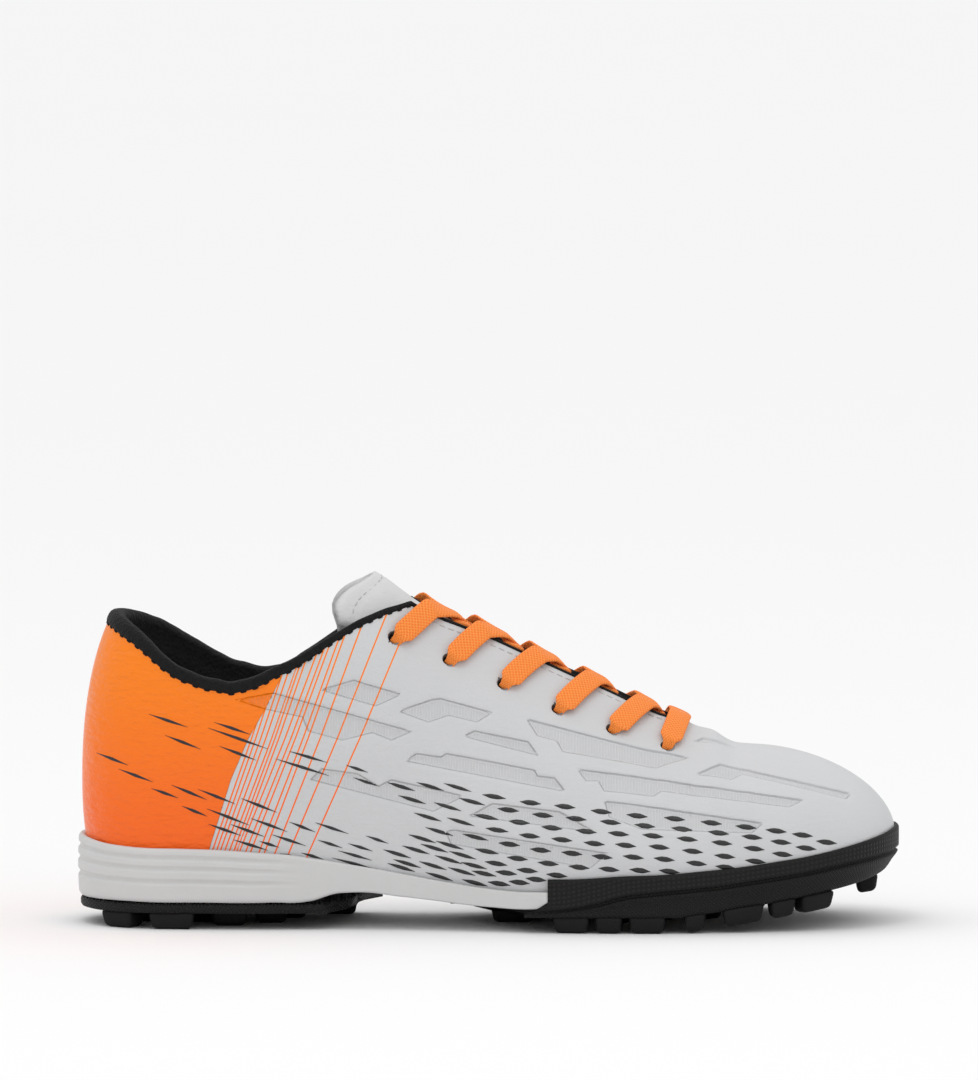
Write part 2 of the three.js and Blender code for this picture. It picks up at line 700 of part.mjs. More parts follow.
// Recess along the arch, between the sole's own outline and a line inside it.
function shankRecess() {
  const top = (at) => lerp(meanOf(underHeight)(at), meanOf(rimHeight)(at), sample(shankRows, "top", at));
  const below = (at) => plateUnder(at) - lugHeight;
  const outside = plainSlab(-lugHeight, below, top);
  const inside = plainSlab(shankPanelDepth, (at) => below(at) - lugHeight, (at) => top(at) + lugHeight);
  const start = aheadOf([{ across: -1, at: shankFromAt }, { across: 1, at: shankFromAt }], 0);
  return outside.subtract(inside).intersect(start);
}

function midsoleSolid(blank, lastRoom) {
  const rear = blank.subtract(aheadOf(forefootPlateBack, -seamGap));
  const layerUnder = (at) => forefootPlateTop(at) + seamGap;
  const layer = plainSlab(cupWall + seamGap, layerUnder, (at) => bedHeight(at) - seamGap);
  const overlap = laceWidth;
  const front = layer.intersect(aheadOf(forefootPlateBack, -overlap));
  return rear.subtract(shankRecess()).add(front).subtract(lastRoom);
}

// Lug with sloping sides, from four corners in plan.
function lug(corners) {
  const middle = corners.reduce((sum, p) => sum.add(p), new THREE.Vector2()).divideScalar(corners.length);
  const ring = (z, draft) => corners.map((p) => {
    const size = p.distanceTo(middle);
    const q = p.clone().lerp(middle, draft / size);
    return vec(q.x, q.y, z(atX(p.x)));
  });
  const flatAt = atX(middle.x) < springRows[1].at;
  const under = (at) => (flatAt ? lugHeight : plateUnder(at));
  const top = ring((at) => under(at) + heelPlateThickness / 2, 0);
  const bottom = ring((at) => under(at) - lugHeight, lugDraft);
  return loft([bottom, top], false);
}

// Point of the sole's outline at a place along the shoe, drawn in by an inset.
function edgePoint(side, at, inset) {
  const forward = at > toeAxisAt ? 1 : -1;
  if (at >= heelAxisAt && at <= toeAxisAt) {
    return new THREE.Vector2(xAt(at), middleY(at) + side * (sideReach(side, at) - inset));
  }
  const axisAt = forward > 0 ? toeAxisAt : heelAxisAt;
  const roundness = forward > 0 ? toeRoundness : heelRoundness;
  const endReach = forward > 0 ? 1 - axisAt : axisAt;
  const share = clamp(Math.abs(at - axisAt) / endReach, 0, 1);
  const turn = Math.acos(Math.pow(share, roundness / 2));
  const station = fanStation(axisAt, forward, roundness, side * turn);
  const r = station.reach - inset;
  return new THREE.Vector2(station.x + station.dx * r, station.y + station.dy * r);
}

function edgeLug({ side, from, to }) {
  const out = plateInset + seamGap;
  return lug([
    edgePoint(side, from, out), edgePoint(side, to, out),
    edgePoint(side, to, out + lugWidth), edgePoint(side, from, out + lugWidth),
  ]);
}

function innerLug({ at, across, long, wide }) {
  const side = across < 0 ? -1 : 1;
  const y = middleY(at) + side * Math.abs(across) * sideReach(side, at);
  const x = xAt(at);
  const dx = long * lugWidth / 2;
  const dy = wide * lugWidth / 2;
  const corner = (sx, sy) => new THREE.Vector2(x + sx * dx, y + sy * dy);
  return lug([corner(-1, -1), corner(1, -1), corner(1, 1), corner(-1, 1)]);
}

function withLugs(plate, isHere) {
  const lugs = [
    ...edgeLugs.filter((row) => isHere(row.to)).map(edgeLug),
    ...innerLugs.filter((row) => isHere(row.at)).map(innerLug),
  ];
  return lugs.reduce((solid, piece) => solid.add(piece), plate);
}

const isHeel = (at) => at < 0.42;

// Heel plate: fills the space under the midsole behind its slanting front line.
function heelPlate(blank) {
  const top = (at) => plateUnder(at) + heelPlateThickness + lugHeight;
  const side = (station) => [
    { inset: plateInset + plateBevel, z: plateUnder(station.at) },
    { inset: plateInset, z: plateUnder(station.at) + plateBevel },
    { inset: plateInset, z: top(station.at) },
  ];
  const slab = soleLayer(side, plateUnder, top).subtract(aheadOf(heelPlateFront, 0));
  const room = blank.translate(0, 0, -seamGap);
  return withLugs(slab.subtract(room), isHeel);
}

// Forefoot cup: plate, side wall with its groove, and the toe bumper.
function cupSide(station) {
  const low = plateUnder(station.at);
  const high = cupRim(station.at);
  const undercut = toeUndercut * sample(springRows, "spring", station.at);
  const groove = lerp(low, high, sample(cupRows, "groove", station.at));
  return [
    { inset: plateInset + plateBevel + undercut, z: low },
    { inset: plateInset, z: low + plateBevel + undercut / 2 },
    { inset: rimBevel, z: groove - sideGrooveHeight / 2 },
    { inset: sideGrooveDepth + rimBevel, z: groove },
    { inset: 0, z: groove + sideGrooveHeight / 2 },
    { inset: 0, z: high - rimBevel },
    { inset: rimBevel, z: high },
  ];
}

function forefootCup(lastRoom) {
  const body = soleLayer(cupSide, plateUnder, cupRim).intersect(aheadOf(forefootPlateBack, 0));
  const room = plainSlab(cupWall, forefootPlateTop, (at) => bedHeight(at) + seamGap);
  return withLugs(body.subtract(room).subtract(lastRoom), (at) => !isHeel(at));
}

// Insole: fills the bottom of the shoe inside the upper and laps over its turned-in edge.
function insoleSolid() {
  const low = (at) => bedHeight(at) + seamGap;
  const plugTop = (at) => low(at) + upperWall + 2 * seamGap;
  const plug = soleLayer((station) => {
    const inset = station.reach - sectionOf(station).feather + seamGap;
    return [{ inset, z: low(station.at) }, { inset, z: plugTop(station.at) }];
  }, low, plugTop);
  const slab = plainSlab(0, low, (at) => low(at) + insoleThickness);
  return filledLast(upperWall + seamGap).intersect(slab).add(plug);
}

// Tongue: a padded strip under the lace edges, its top end free and swept back at the wings.
function tonguePoint(at, share, under) {
  const side = share < 0 ? -1 : 1;
  const row = (column, where) => sample(tongueRows, column, where);
  const out = Math.abs(share) * tongueWidth / 2 * row("width", at);
  const half = halfThroat(at);
  const ridge = sideStation(side, at);
  const heightAt = (reach) => skin(ridge, levelAtReach(ridge, reach), 0).z;
  const drop = heightAt(half) - heightAt(Math.max(out, half));
  const back = at - row("sweep", at) * drop / shoeLength;
  const station = sideStation(side, back);
  const depth = (upperWall + seamGap) * row("depth", back);
  const taper = 1 - 0.55 * Math.pow(Math.abs(share), 3);
  const thick = under ? tongueThickness * row("thickness", at) * taper : 0;
  const point = skin(station, levelAtReach(station, Math.max(out, half)), depth + thick);
  if (out >= half) return point;
  const across = out / half;
  point.y = lerp(station.y, point.y, across);
  point.z += tongueBulge * row("bulge", at) * (1 - across * across);
  return point;
}

function tongueSolid() {
  const endAt = throatEndAt + 0.03;
  const shares = Array.from({ length: 2 * tongueAcross + 1 }, (_, i) => i / tongueAcross - 1);
  const rings = [tongueTopAt, ...steps(tongueTopAt, endAt, tongueSteps)].map((at) => {
    const over = shares.map((share) => tonguePoint(at, share, false));
    const under = shares.map((share) => tonguePoint(at, share, true));
    return [...over, ...under.reverse()];
  });
  return loft(rings, false);
}

// Collar padding: a soft roll inside the collar that rises a little over its edge.
function padRing(station) {
  const trim = trimLevel(station);
  const top = levelBelow(station, trim, -collarPadRise * sample(padRows, "rise", station.at));
  const bottom = levelBelow(station, trim, collarPadDrop);
  const face = upperWall + seamGap;
  const full = collarPadThickness * sample(padRows, "thickness", station.at);
  const shares = [0, 0.06, ...steps(0.06, 1, padSteps)];
  const levels = shares.map((share) => lerp(top, bottom, share));
  const bulge = shares.map((share) => full * (0.3 + 0.7 * Math.sin(Math.PI * Math.pow(1 - share, 1.6))));
  const near = levels.map((level, i) => skin(station, level, face + (i === 0 ? full * 0.2 : 0)));
  const far = levels.map((level, i) => skin(station, level, face + Math.max(bulge[i], full * 0.4)));
  return [...near, ...far.reverse()];
}

function collarPad() {
  const first = stations.findIndex((station) => station.at > collarFrontAt - degenerate);
  const back = stations.length - 1;
  const lastInner = stations.findLastIndex((station) => station.at > collarFrontAt - degenerate);
  const order = [...stations.slice(lastInner + 1, back + 1), ...stations.slice(0, first)];
  return loft(order.map(padRing), false);
}

// Eyelets: places on each side, counted from the toe end.
function eyelet(side, index) {
  const x = throatEndFromHeel - lastEyeletBeforeThroatEnd - index * eyeletPitch;
  const station = sideStation(side, x / shoeLength);
  const share = eyeletLine[Math.min(index, eyeletLine.length - 1)];
  const level = levelBelow(station, trimLevel(station), eyeletFromEdge * share);
  const reach = Math.abs(skin(station, level, 0).y - station.y);
  return { station, level, at: station.at, out: side * reach };
}

// Outward direction of the skin at a place.
function skinNormal(side, at, level) {
  const e = 0.002;
  const here = skin(sideStation(side, at), level, 0);
  const along = skin(sideStation(side, at + e), level, 0).sub(here);
  const over = skin(sideStation(side, at), level - e, 0).sub(here);
  return along.cross(over).multiplyScalar(side).normalize();
}

function eyeletPunch(side, index) {
  const { station, level } = eyelet(side, index);
  const axis = skinNormal(side, station.at, level);
  const length = upperWall * 6;
  const geometry = new THREE.CylinderGeometry(eyeletDiameter / 2, eyeletDiameter / 2, length, eyeletSides);
  geometry.applyQuaternion(new THREE.Quaternion().setFromUnitVectors(vec(0, 1, 0), axis));
  const centre = skin(station, level, upperWall / 2);
  geometry.translate(centre.x, centre.y, centre.z);
  return solidOf(geometry);
}

function punchedUpper() {
  let upper = upperShell();
  for (const side of [-1, 1]) {
    for (let i = 0; i < eyeletCount; i += 1) upper = upper.subtract(eyeletPunch(side, i));
  }
  return upper;
}

// Place and outward direction on the upper, or on a flat bridge over the lace opening. Places
// across are signed, the outer side negative.
function seat(at, out) {
  const side = out < 0 ? -1 : 1;
  const station = sideStation(side, at);
  const half = halfThroat(at);
  const level = levelAtReach(station, Math.max(Math.abs(out), half));
  const point = skin(station, level, 0);
  const normal = skinNormal(side, at, level);
  if (Math.abs(out) < half) {
    point.y = station.y + out;
    normal.y *= Math.pow(Math.abs(out) / half, 3);
    normal.normalize();
  }
  return { point, normal };
}

function bandRing({ at, out, lift, width }, direction) {
  const { point, normal } = seat(at, out);
  const centre = point.addScaledVector(normal, lift);
  const along = direction.clone().addScaledVector(normal, -direction.dot(normal)).normalize();
  const wide = along.clone().cross(normal).multiplyScalar(width / 2);
  const thick = normal.clone().multiplyScalar(laceThickness / 2);
  const corner = (w, t) => centre.clone().addScaledVector(wide, w).addScaledVector(thick, t);
  return [corner(-1, 0), corner(-0.8, 1), corner(0.8, 1), corner(1, 0), corner(0.8, -1), corner(-0.8, -1)];
}

// Share of the way across at which a band passes over the edge of the opening on its end's side.
function edgeShare(start, end) {
  const whole = Math.abs(start.out) + Math.abs(end.out);
  let share = 0.5;
  for (let i = 0; i < 4; i += 1) {
    const at = lerp(start.at, end.at, Math.pow(share, laceBend));
    share = (halfThroat(at) + seamGap + Math.abs(start.out)) / whole;
  }
  return share;
}

// One band: from the lace opening's edge on one side, or from an eyelet, to an eyelet beyond.
function band(start, end, rise, bow = 0) {
  const high = laceClearance + laceThickness / 2;
  const edges = start.hidden ? [edgeShare(start, end)] : [1 - edgeShare(end, start), edgeShare(start, end)];
  const stops = [0, ...edges, 1];
  const shares = stops.slice(1).flatMap((stop, i) => steps(stops[i], stop, i < 1 || !start.hidden ? 3 : laceSteps));
  const path = [0, ...shares].map((t) => {
    const bowed = bow / shoeLength * Math.sin(Math.PI * t);
    const at = lerp(start.at, end.at, Math.pow(t, laceBend)) + bowed;
    const out = lerp(start.out, end.out, t);
    const dip = start.hidden ? Math.max(1 - t * 3, 0) : 0;
    const lift = lerp(high, -laceDip, dip) + rise * Math.sin(Math.PI * t);
    const pinch = (t > 0.85 || (!start.hidden && t < 0.15)) ? 0.62 : 1;
    return { at, out, lift, width: laceWidth * pinch };
  });
  const rings = path.map((p, i) => {
    const before = path[Math.max(i - 1, 0)];
    const after = path[Math.min(i + 1, path.length - 1)];
    return bandRing(p, seat(after.at, after.out).point.sub(seat(before.at, before.out).point));
  });
  return loft(rings, false);
}

// Crossing number n runs from the eyelets n, counted from the toe, up to the next pair.
function laceCrossing(n) {
  const lead = laceLead[Math.min(n, laceLead.length - 1)] * eyeletPitch / shoeLength;
  const bands = [-1, 1].map((side) => {
    const startAt = eyelet(-side, n).at + lead;
    const start = { at: startAt, out: -side * (halfThroat(startAt) - laceTuck), hidden: true };
    return band(start, eyelet(side, n + 1), side < 0 ? laceRise : laceRise * 0.8);
  });
  return bands[0].add(bands[1]);
}

const laceBar = () => band(eyelet(-1, 0), eyelet(1, 0), laceRise, laceBarBow);

// Meshes
function meshOf(name, solid, color, roughness) {
  const data = solid.simplify(smallestEdge).getMesh();
  const geometry = new THREE.BufferGeometry();
  geometry.setAttribute("position", new THREE.BufferAttribute(new Float32Array(data.vertProperties), 3));
  geometry.setIndex(Array.from(data.triVerts));
  geometry.computeVertexNormals();
  const material = new THREE.MeshStandardMaterial({ color, roughness, metalness: 0 });
  const mesh = new THREE.Mesh(geometry, material);
  mesh.name = name;
  return mesh;
}

const lastRoom = filledLast(-seamGap);
const blank = midsoleBlank();
const shoe = new THREE.Group();
shoe.add(meshOf("outsole_heel", heelPlate(blank), 0x232321, 0.7));
shoe.add(meshOf("outsole_forefoot", forefootCup(lastRoom), 0x262624, 0.7));
shoe.add(meshOf("midsole", midsoleSolid(blank, lastRoom), 0xbfbfbd, 0.6));
shoe.add(meshOf("insole", insoleSolid(), 0x2a2a2c, 0.9));
shoe.add(meshOf("upper", punchedUpper(), 0xd2d2cf, 0.5));
shoe.add(meshOf("collar_padding", collarPad(), 0x1c1c1e, 0.95));
shoe.add(meshOf("tongue", tongueSolid(), 0xcfcfcc, 0.6));
shoe.add(meshOf("lace_bar", laceBar(), 0xff8a3d, 0.8));
for (let n = 0; n < eyeletCount - 1; n += 1) {
  shoe.add(meshOf(`lace_crossing_${n + 1}`, laceCrossing(n), 0xff8a3d, 0.8));
}

export default shoe;
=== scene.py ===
# %% [markdown]
# # A turf shoe for the right foot
# The solids of the shoe come in as a fixed frame. Round them this lesson dresses the shoe: a dense
# skin for the upper with its pressed panels, a soft collar, a tongue, woven laces and rubber soles.
# Everything is worked out in millimetres in the shoe's own sizes and turned into metres at the end.

# %% Start
import math
from collections import namedtuple
import bpy
import bmesh
import numpy as np
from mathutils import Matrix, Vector
from mathutils.bvhtree import BVHTree


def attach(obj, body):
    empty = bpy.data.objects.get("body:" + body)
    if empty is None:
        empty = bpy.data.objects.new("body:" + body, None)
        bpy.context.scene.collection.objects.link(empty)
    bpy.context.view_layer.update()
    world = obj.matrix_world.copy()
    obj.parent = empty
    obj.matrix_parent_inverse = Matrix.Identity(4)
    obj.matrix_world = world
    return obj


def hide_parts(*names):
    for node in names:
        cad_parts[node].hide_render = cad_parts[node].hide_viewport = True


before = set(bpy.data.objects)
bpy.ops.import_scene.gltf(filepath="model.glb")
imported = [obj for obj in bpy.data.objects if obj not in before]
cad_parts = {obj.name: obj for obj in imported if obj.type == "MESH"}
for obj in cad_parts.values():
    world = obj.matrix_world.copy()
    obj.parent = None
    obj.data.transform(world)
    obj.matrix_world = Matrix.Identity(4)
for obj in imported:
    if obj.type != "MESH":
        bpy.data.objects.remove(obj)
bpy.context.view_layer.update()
MM = 0.001

# %% [markdown]
# The camera stands where the photographer stood: level with the shoe's side, a little above it.
# A long lens from four metres away keeps the sides straight. The lens follows from how many
# pixels of the picture one metre of the shoe takes, and the shift puts the shoe low in the frame.

# %% Camera
PICTURE_WIDTH = 978.0
PICTURE_HEIGHT = 1080.0
PIXELS_PER_METRE = 2927.0
MIDDLE_OF_SHOE_X = 488.75
FLOOR_LINE_Y = 920.0
CAMERA_DISTANCE = 4.0
CAMERA_RISE = math.radians(6.0)

scene = bpy.context.scene
camera = bpy.data.objects.new("camera", bpy.data.cameras.new("camera"))
scene.collection.objects.link(camera)
towards = Vector((0.0, -math.cos(CAMERA_RISE), math.sin(CAMERA_RISE)))
camera.location = towards * CAMERA_DISTANCE
camera.rotation_euler = (-towards).to_track_quat("-Z", "Y").to_euler()
camera.data.sensor_fit = "VERTICAL"
camera.data.sensor_height = 36.0
camera.data.lens = 36.0 * CAMERA_DISTANCE / (PICTURE_HEIGHT / PIXELS_PER_METRE)
camera.data.shift_x = (PICTURE_WIDTH / 2 - MIDDLE_OF_SHOE_X) / PICTURE_HEIGHT
camera.data.shift_y = (FLOOR_LINE_Y - PICTURE_HEIGHT / 2) / PICTURE_HEIGHT
scene.camera = camera
print("lens", round(camera.data.lens, 1))

# %% [markdown]
# A shoe is built on a last, a solid foot shape. Its sizes are few: length, widths and heights, and
# how each share of them runs from heel to toe. A table with a smooth curve through its rows is an
# easy way to hold such a run, and a change of one row moves only its own stretch of the shoe.

# %% Sizes of the last
LENGTH = 280.0
BALL_WIDTH = 95.5
HEEL_WIDTH = 67.0
INSTEP = 112.5
TOE = 60.0
COLLAR_TOP = 109.0
COLLAR_DIP = 84.5
WALL = 2.0
FEATHER = 4.5
THROAT_END = 208.5
THROAT_GAP = 22.0
THROAT_NARROWING = 0.68
HEEL_BED = 20.0
BALL_BED = 12.0
SPRING = 11.0
RIM_STEP = 1.3
GAP = 0.3
OUTER_SWELL = 1.2
INNER_SWELL = 3.4
HEEL_AXIS = 0.125
TOE_AXIS = 0.82
COLLAR_FRONT = 0.409
TOE_ROUND = 2.08
HEEL_ROUND = 2.15
OUTER = -1
INNER = 1
THROAT_END_AT = THROAT_END / LENGTH
THROAT_ROUND_AT = THROAT_END_AT - THROAT_GAP / 3 / LENGTH
QUARTER = math.pi / 2


def table(names, rows):
    """Columns by name, from rows that run from the heel to the toe."""
    return dict(zip(names.split(), np.array(rows, float).T))


outline = table("at outer inner middle", [
    (0, .5, .5, 0), (.125, .5, .5, 0), (.214, .515, .485, .004), (.321, .49, .415, .012),
    (.429, .475, .345, .022), (.5, .466, .345, .03), (.571, .482, .392, .036),
    (.661, .503, .466, .044), (.714, .503, .492, .046), (.77, .488, .503, .043),
    (.82, .468, .498, .038), (1, .455, .495, .038)])
widths = table("at ball", [
    (0, 0), (.214, 0), (.321, .1), (.429, .45), (.5, .78), (.571, .95), (.661, 1), (1, 1)])
uppers = table("at instep toe swell widest outer inner", [
    (0, 1.093, 0, 0, .27, 2.2, 2.2), (.075, 1.135, 0, 0, .26, 2.2, 2.2),
    (.125, 1.23, 0, 0, .24, 2.15, 2.15), (.214, 1.225, 0, .1, .235, 2.15, 2.2),
    (.271, 1.185, 0, .3, .235, 2.12, 2.3), (.321, 1.14, 0, .6, .235, 2.02, 2.3),
    (.357, 1.1, 0, .8, .235, 1.85, 2.19), (.393, 1.055, 0, 1, .235, 1.62, 1.97),
    (.429, 1.01, 0, 1, .235, 1.48, 1.85), (.464, .97, 0, 1, .235, 1.42, 1.8),
    (.5, .926, 0, 1, .23, 1.4, 1.72), (.571, .747, .15, .7, .22, 1.4, 1.64),
    (.641, .531, .385, .3, .21, 1.42, 1.6), (.714, .302, .635, 0, .2, 1.52, 1.67),
    (.77, .13, .84, 0, .215, 1.78, 1.9), (.82, 0, 1, 0, .24, 1.95, 1.98), (1, 0, 1, 0, .2, 1.82, 1.82)])
collars = table("at outer inner", [
    (0, .82, .82), (.0345, .69, .76), (.075, .49, .66), (.105, .27, .55), (.14, .07, .35),
    (.172, -.03, .14), (.2, -.04, .02), (.242, .15, -.02), (.271, .31, .16), (.321, .65, .56),
    (.36, .87, .85), (.393, .985, .98), (.43, 1.1, 1.1), (1, 3, 3)])
beds = table("at heel ball spring", [
    (0, 1.02, 0, 0), (.125, 1, 0, 0), (.214, .95, 0, 0), (.321, .72, .23, 0), (.429, .36, .62, 0),
    (.5, .12, .84, 0), (.571, 0, .97, 0), (.661, 0, 1, 0), (.75, 0, 1, .08), (.857, 0, 1, .38),
    (.929, 0, 1, .68), (1, 0, 1, 1)])


def run(rows, column, at):
    """Value of a column at a share of the length, on a smooth curve through its rows."""
    x = rows["at"]
    v = rows[column]
    a = np.clip(at, x[0], x[-1])
    i = np.clip(np.searchsorted(x, a, side="right") - 1, 0, len(x) - 2)
    low = np.maximum(np.arange(len(x)) - 1, 0)
    high = np.minimum(np.arange(len(x)) + 1, len(x) - 1)
    slope = (v[high] - v[low]) / (x[high] - x[low])
    span = x[i + 1] - x[i]
    t = (a - x[i]) / span
    left = v[i] + slope[i] * span * t
    right = v[i + 1] - slope[i + 1] * span * (1 - t)
    return left + (right - left) * t * t * (3 - 2 * t)


def blend(low, high, share):
    """A value between two others."""
    return low + (high - low) * share


def soft_step(value, start, end):
    """0 before start, 1 after end, and a smooth rise between."""
    t = np.clip((value - start) / (end - start), 0, 1)
    return t * t * (3 - 2 * t)


print("instep at the throat's end", round(float(run(uppers, "instep", THROAT_END_AT)), 3))

# %% [markdown]
# The last is cut into stations all round it, as an orange is into slices. On the long sides a
# station looks straight out from the middle line, and round the toe and the heel they fan out
# from one point. A place on the skin is then a station and a level, from the feather edge below
# to the crown above, so panels, stitches and laces can all be laid on the same skin.

# %% Stations
THROAT_STEPS = 12


def of_side(side, outer, inner):
    """One value for the outer side, another for the inner side."""
    return np.where(np.asarray(side) < 0, outer, inner)


def reach_of(side, at):
    """How far the sole's outline is from the middle line."""
    share = of_side(side, run(outline, "outer", at), run(outline, "inner", at))
    width = blend(HEEL_WIDTH, BALL_WIDTH, run(widths, "ball", at))
    return share * width - side * run(outline, "middle", at) * BALL_WIDTH


def bed(at):
    """Height of the bed that the foot stands on."""
    rise = run(beds, "heel", at) * HEEL_BED + run(beds, "ball", at) * BALL_BED
    return rise + run(beds, "spring", at) * SPRING


def side_station(side, at):
    """Stations on a long side, which look straight out."""
    at = np.asarray(at, float)
    side = np.asarray(side, float) + 0 * at
    middle = run(outline, "middle", at) * BALL_WIDTH
    return dict(side=side, at=at, crown=at, x=(at - .5) * LENGTH, y=middle,
                dx=0 * at, dy=side, reach=reach_of(side, at))


def fan_station(axis, forward, roundness, turn):
    """Stations round the toe or the heel, which turn about one point of the middle line."""
    turn = np.asarray(turn, float)
    side = np.where(turn < 0, -1.0, 1.0)
    end = (1 - axis if forward > 0 else axis) * LENGTH
    along = np.abs(np.cos(turn)) ** (2 / roundness) * end
    across = np.abs(np.sin(turn)) ** (2 / roundness) * reach_of(side, axis)
    reach = np.hypot(along, across)
    at = axis + forward * along / LENGTH
    middle = run(outline, "middle", axis) * BALL_WIDTH
    return dict(side=side, at=at, crown=(axis + 0 * at) if forward > 0 else at,
                x=(axis - .5) * LENGTH + 0 * at, y=middle + 0 * at,
                dx=forward * along / reach, dy=side * across / reach, reach=reach)


def joined(*parts):
    """Several runs of stations as one."""
    return {key: np.concatenate([part[key] for part in parts]) for key in parts[0]}


def stations_round(side_steps, toe_steps, heel_steps):
    """Outer side to the toe, round it, the inner side back, and round the heel."""
    even = np.linspace(HEEL_AXIS, TOE_AXIS, side_steps)
    round_end = np.sin(np.linspace(0, QUARTER, THROAT_STEPS))
    rounded = THROAT_ROUND_AT + (THROAT_END_AT - THROAT_ROUND_AT) * round_end
    ats = np.unique(np.concatenate([even, rounded, [COLLAR_FRONT]]))
    toe_turns = np.linspace(-QUARTER, QUARTER, toe_steps)
    heel_turns = np.linspace(QUARTER, -QUARTER, heel_steps)
    return joined(side_station(OUTER, ats[:-1]),
                  fan_station(TOE_AXIS, 1, TOE_ROUND, toe_turns[:-1]),
                  side_station(INNER, ats[::-1][:-1]),
                  fan_station(HEEL_AXIS, -1, HEEL_ROUND, heel_turns[:-1]))


def widened(station):
    """The same stations with a second axis, for many levels each."""
    return {key: np.asarray(value)[..., None] for key, value in station.items()}


ring = stations_round(330, 130, 110)
print("stations", len(ring["at"]))

# %% [markdown]
# At each station the leather rises from the feather edge, bulges to its widest height and rounds
# over to the crown. A quarter of an ellipse below and a quarter of a squarer curve above draw that
# section with five numbers. Sculpting would be freer, but a formula lets later pieces find the skin.

# %% Section and skin
Section = namedtuple("Section", "widest bottom waist crown square")


def section(station):
    """Widest reach, bottom, height of the widest place, crown, and how square the upper part is."""
    at = station["at"]
    side = station["side"]
    swell = run(uppers, "swell", at) * of_side(side, OUTER_SWELL, INNER_SWELL)
    widest = station["reach"] - RIM_STEP + swell
    bottom = bed(at) + GAP
    crown = run(uppers, "instep", station["crown"]) * INSTEP + run(uppers, "toe", station["crown"]) * TOE
    waist = bottom + run(uppers, "widest", at) * (crown - bottom)
    square = of_side(side, run(uppers, "outer", at), run(uppers, "inner", at))
    return Section(widest, bottom, waist, crown, square)


def skin(station, level, depth=0.0):
    """Place on the upper: level 0 is the feather edge, 1 the widest height, 2 the crown."""
    widest, bottom, waist, crown, square = section(station)
    level = np.asarray(level, float)
    low = level <= 1
    turn = np.where(low, level, level - 1) * QUARTER
    across = np.clip(np.cos(turn), 0, None) ** (2 / square)
    up = np.clip(np.sin(turn), 0, None) ** (2 / square)
    r = np.where(low, widest - FEATHER + FEATHER * np.sin(turn), widest * across)
    z = np.where(low, bottom + (waist - bottom) * (1 - np.cos(turn)), waist + (crown - waist) * up)
    out = np.where(low, (waist - bottom) * np.sin(turn), across ** (square - 1) / widest)
    rise = np.where(low, -FEATHER * np.cos(turn), up ** (square - 1) / (crown - waist))
    size = np.hypot(out, rise)
    r = np.maximum(r - depth * out / size, 0)
    z = z - depth * rise / size
    return np.stack([station["x"] + station["dx"] * r, station["y"] + station["dy"] * r, z], -1)


all_cuts = section(ring)
print("widest half", round(float(all_cuts.widest.max()), 1), "crown", round(float(all_cuts.crown.max()), 1))

# %% [markdown]
# Edges and seams are known as heights, distances out or lengths along the leather, as a tape lies
# on it. These helpers turn each of them into a level, so that a seam keeps its distance from an
# edge wherever the shoe swells.

# %% Levels on the skin
FINE_STEPS = 260


def gone_along(points):
    """Length gone at each point of a path, or of many paths at once."""
    steps = np.linalg.norm(np.diff(points, axis=-2), axis=-1)
    return np.concatenate([np.zeros(steps.shape[:-1] + (1,)), steps.cumsum(-1)], -1)


def level_at_reach(station, distance):
    """Level at a distance out from the middle line."""
    cut = section(station)
    return 1 + np.arccos(np.clip(distance / cut.widest, 0, 1) ** (cut.square / 2)) / QUARTER


def level_at_height(station, height):
    """Level at a height above the floor."""
    cut = section(station)
    share = np.clip((height - cut.waist) / (cut.crown - cut.waist), 0, 1)
    return 1 + np.arcsin(share ** (cut.square / 2)) / QUARTER


def half_throat(at):
    """Half the width of the lace opening."""
    at = np.asarray(at, float)
    share = np.clip((at - COLLAR_FRONT) / (THROAT_END_AT - COLLAR_FRONT), 0, 1)
    half = THROAT_GAP / 2 * blend(1, THROAT_NARROWING, share)
    end = np.clip((at - THROAT_ROUND_AT) / (THROAT_END_AT - THROAT_ROUND_AT), 0, 1)
    return np.where(at >= THROAT_END_AT, 0, half * np.sqrt(1 - end ** 2))


def edge_level(station):
    """Level of the upper's free edge: the collar, then the edge of the lace opening."""
    at = station["at"]
    share = of_side(station["side"], run(collars, "outer", at), run(collars, "inner", at))
    collar = level_at_height(station, blend(COLLAR_DIP, COLLAR_TOP, share))
    return np.where(at >= THROAT_END_AT, 2, np.minimum(collar, level_at_reach(station, half_throat(at))))


def lengths_by_level(station, start, end):
    """Levels in fine steps between two levels, and the length gone along the skin at each."""
    start = np.asarray(start, float) + 0 * station["at"]
    end = np.asarray(end, float) + 0 * station["at"]
    fine = start[:, None] + (end - start)[:, None] * np.linspace(0, 1, FINE_STEPS)
    return fine, gone_along(skin(widened(station), fine))


def levels_along(station, start, lengths):
    """Levels at given lengths down the skin from a start level, for each station."""
    fine, gone = lengths_by_level(station, start, 0.0)
    lengths = np.asarray(lengths, float) + np.zeros((len(gone), 1))
    return np.array([np.interp(want, have, level) for want, have, level in zip(lengths, gone, fine)])


def levels_evenly(station, start, end, count):
    """Levels that lie evenly along the skin between two levels."""
    fine, gone = lengths_by_level(station, start, end)
    shares = np.linspace(0, 1, count)
    return np.array([np.interp(shares * have[-1], have, level) for have, level in zip(gone, fine)])


edges = edge_level(ring)
print("edge levels", round(float(edges.min()), 2), "to", round(float(edges.max()), 2))

# %% [markdown]
# Every piece is a mesh made from rows of points. One helper turns a grid of points into faces,
# welds what meets, and gives the mesh its smooth shading, its finish and its place on the shoe.
# Numbers that a finish needs, such as how far a point lies from a colour's edge, ride on the points.

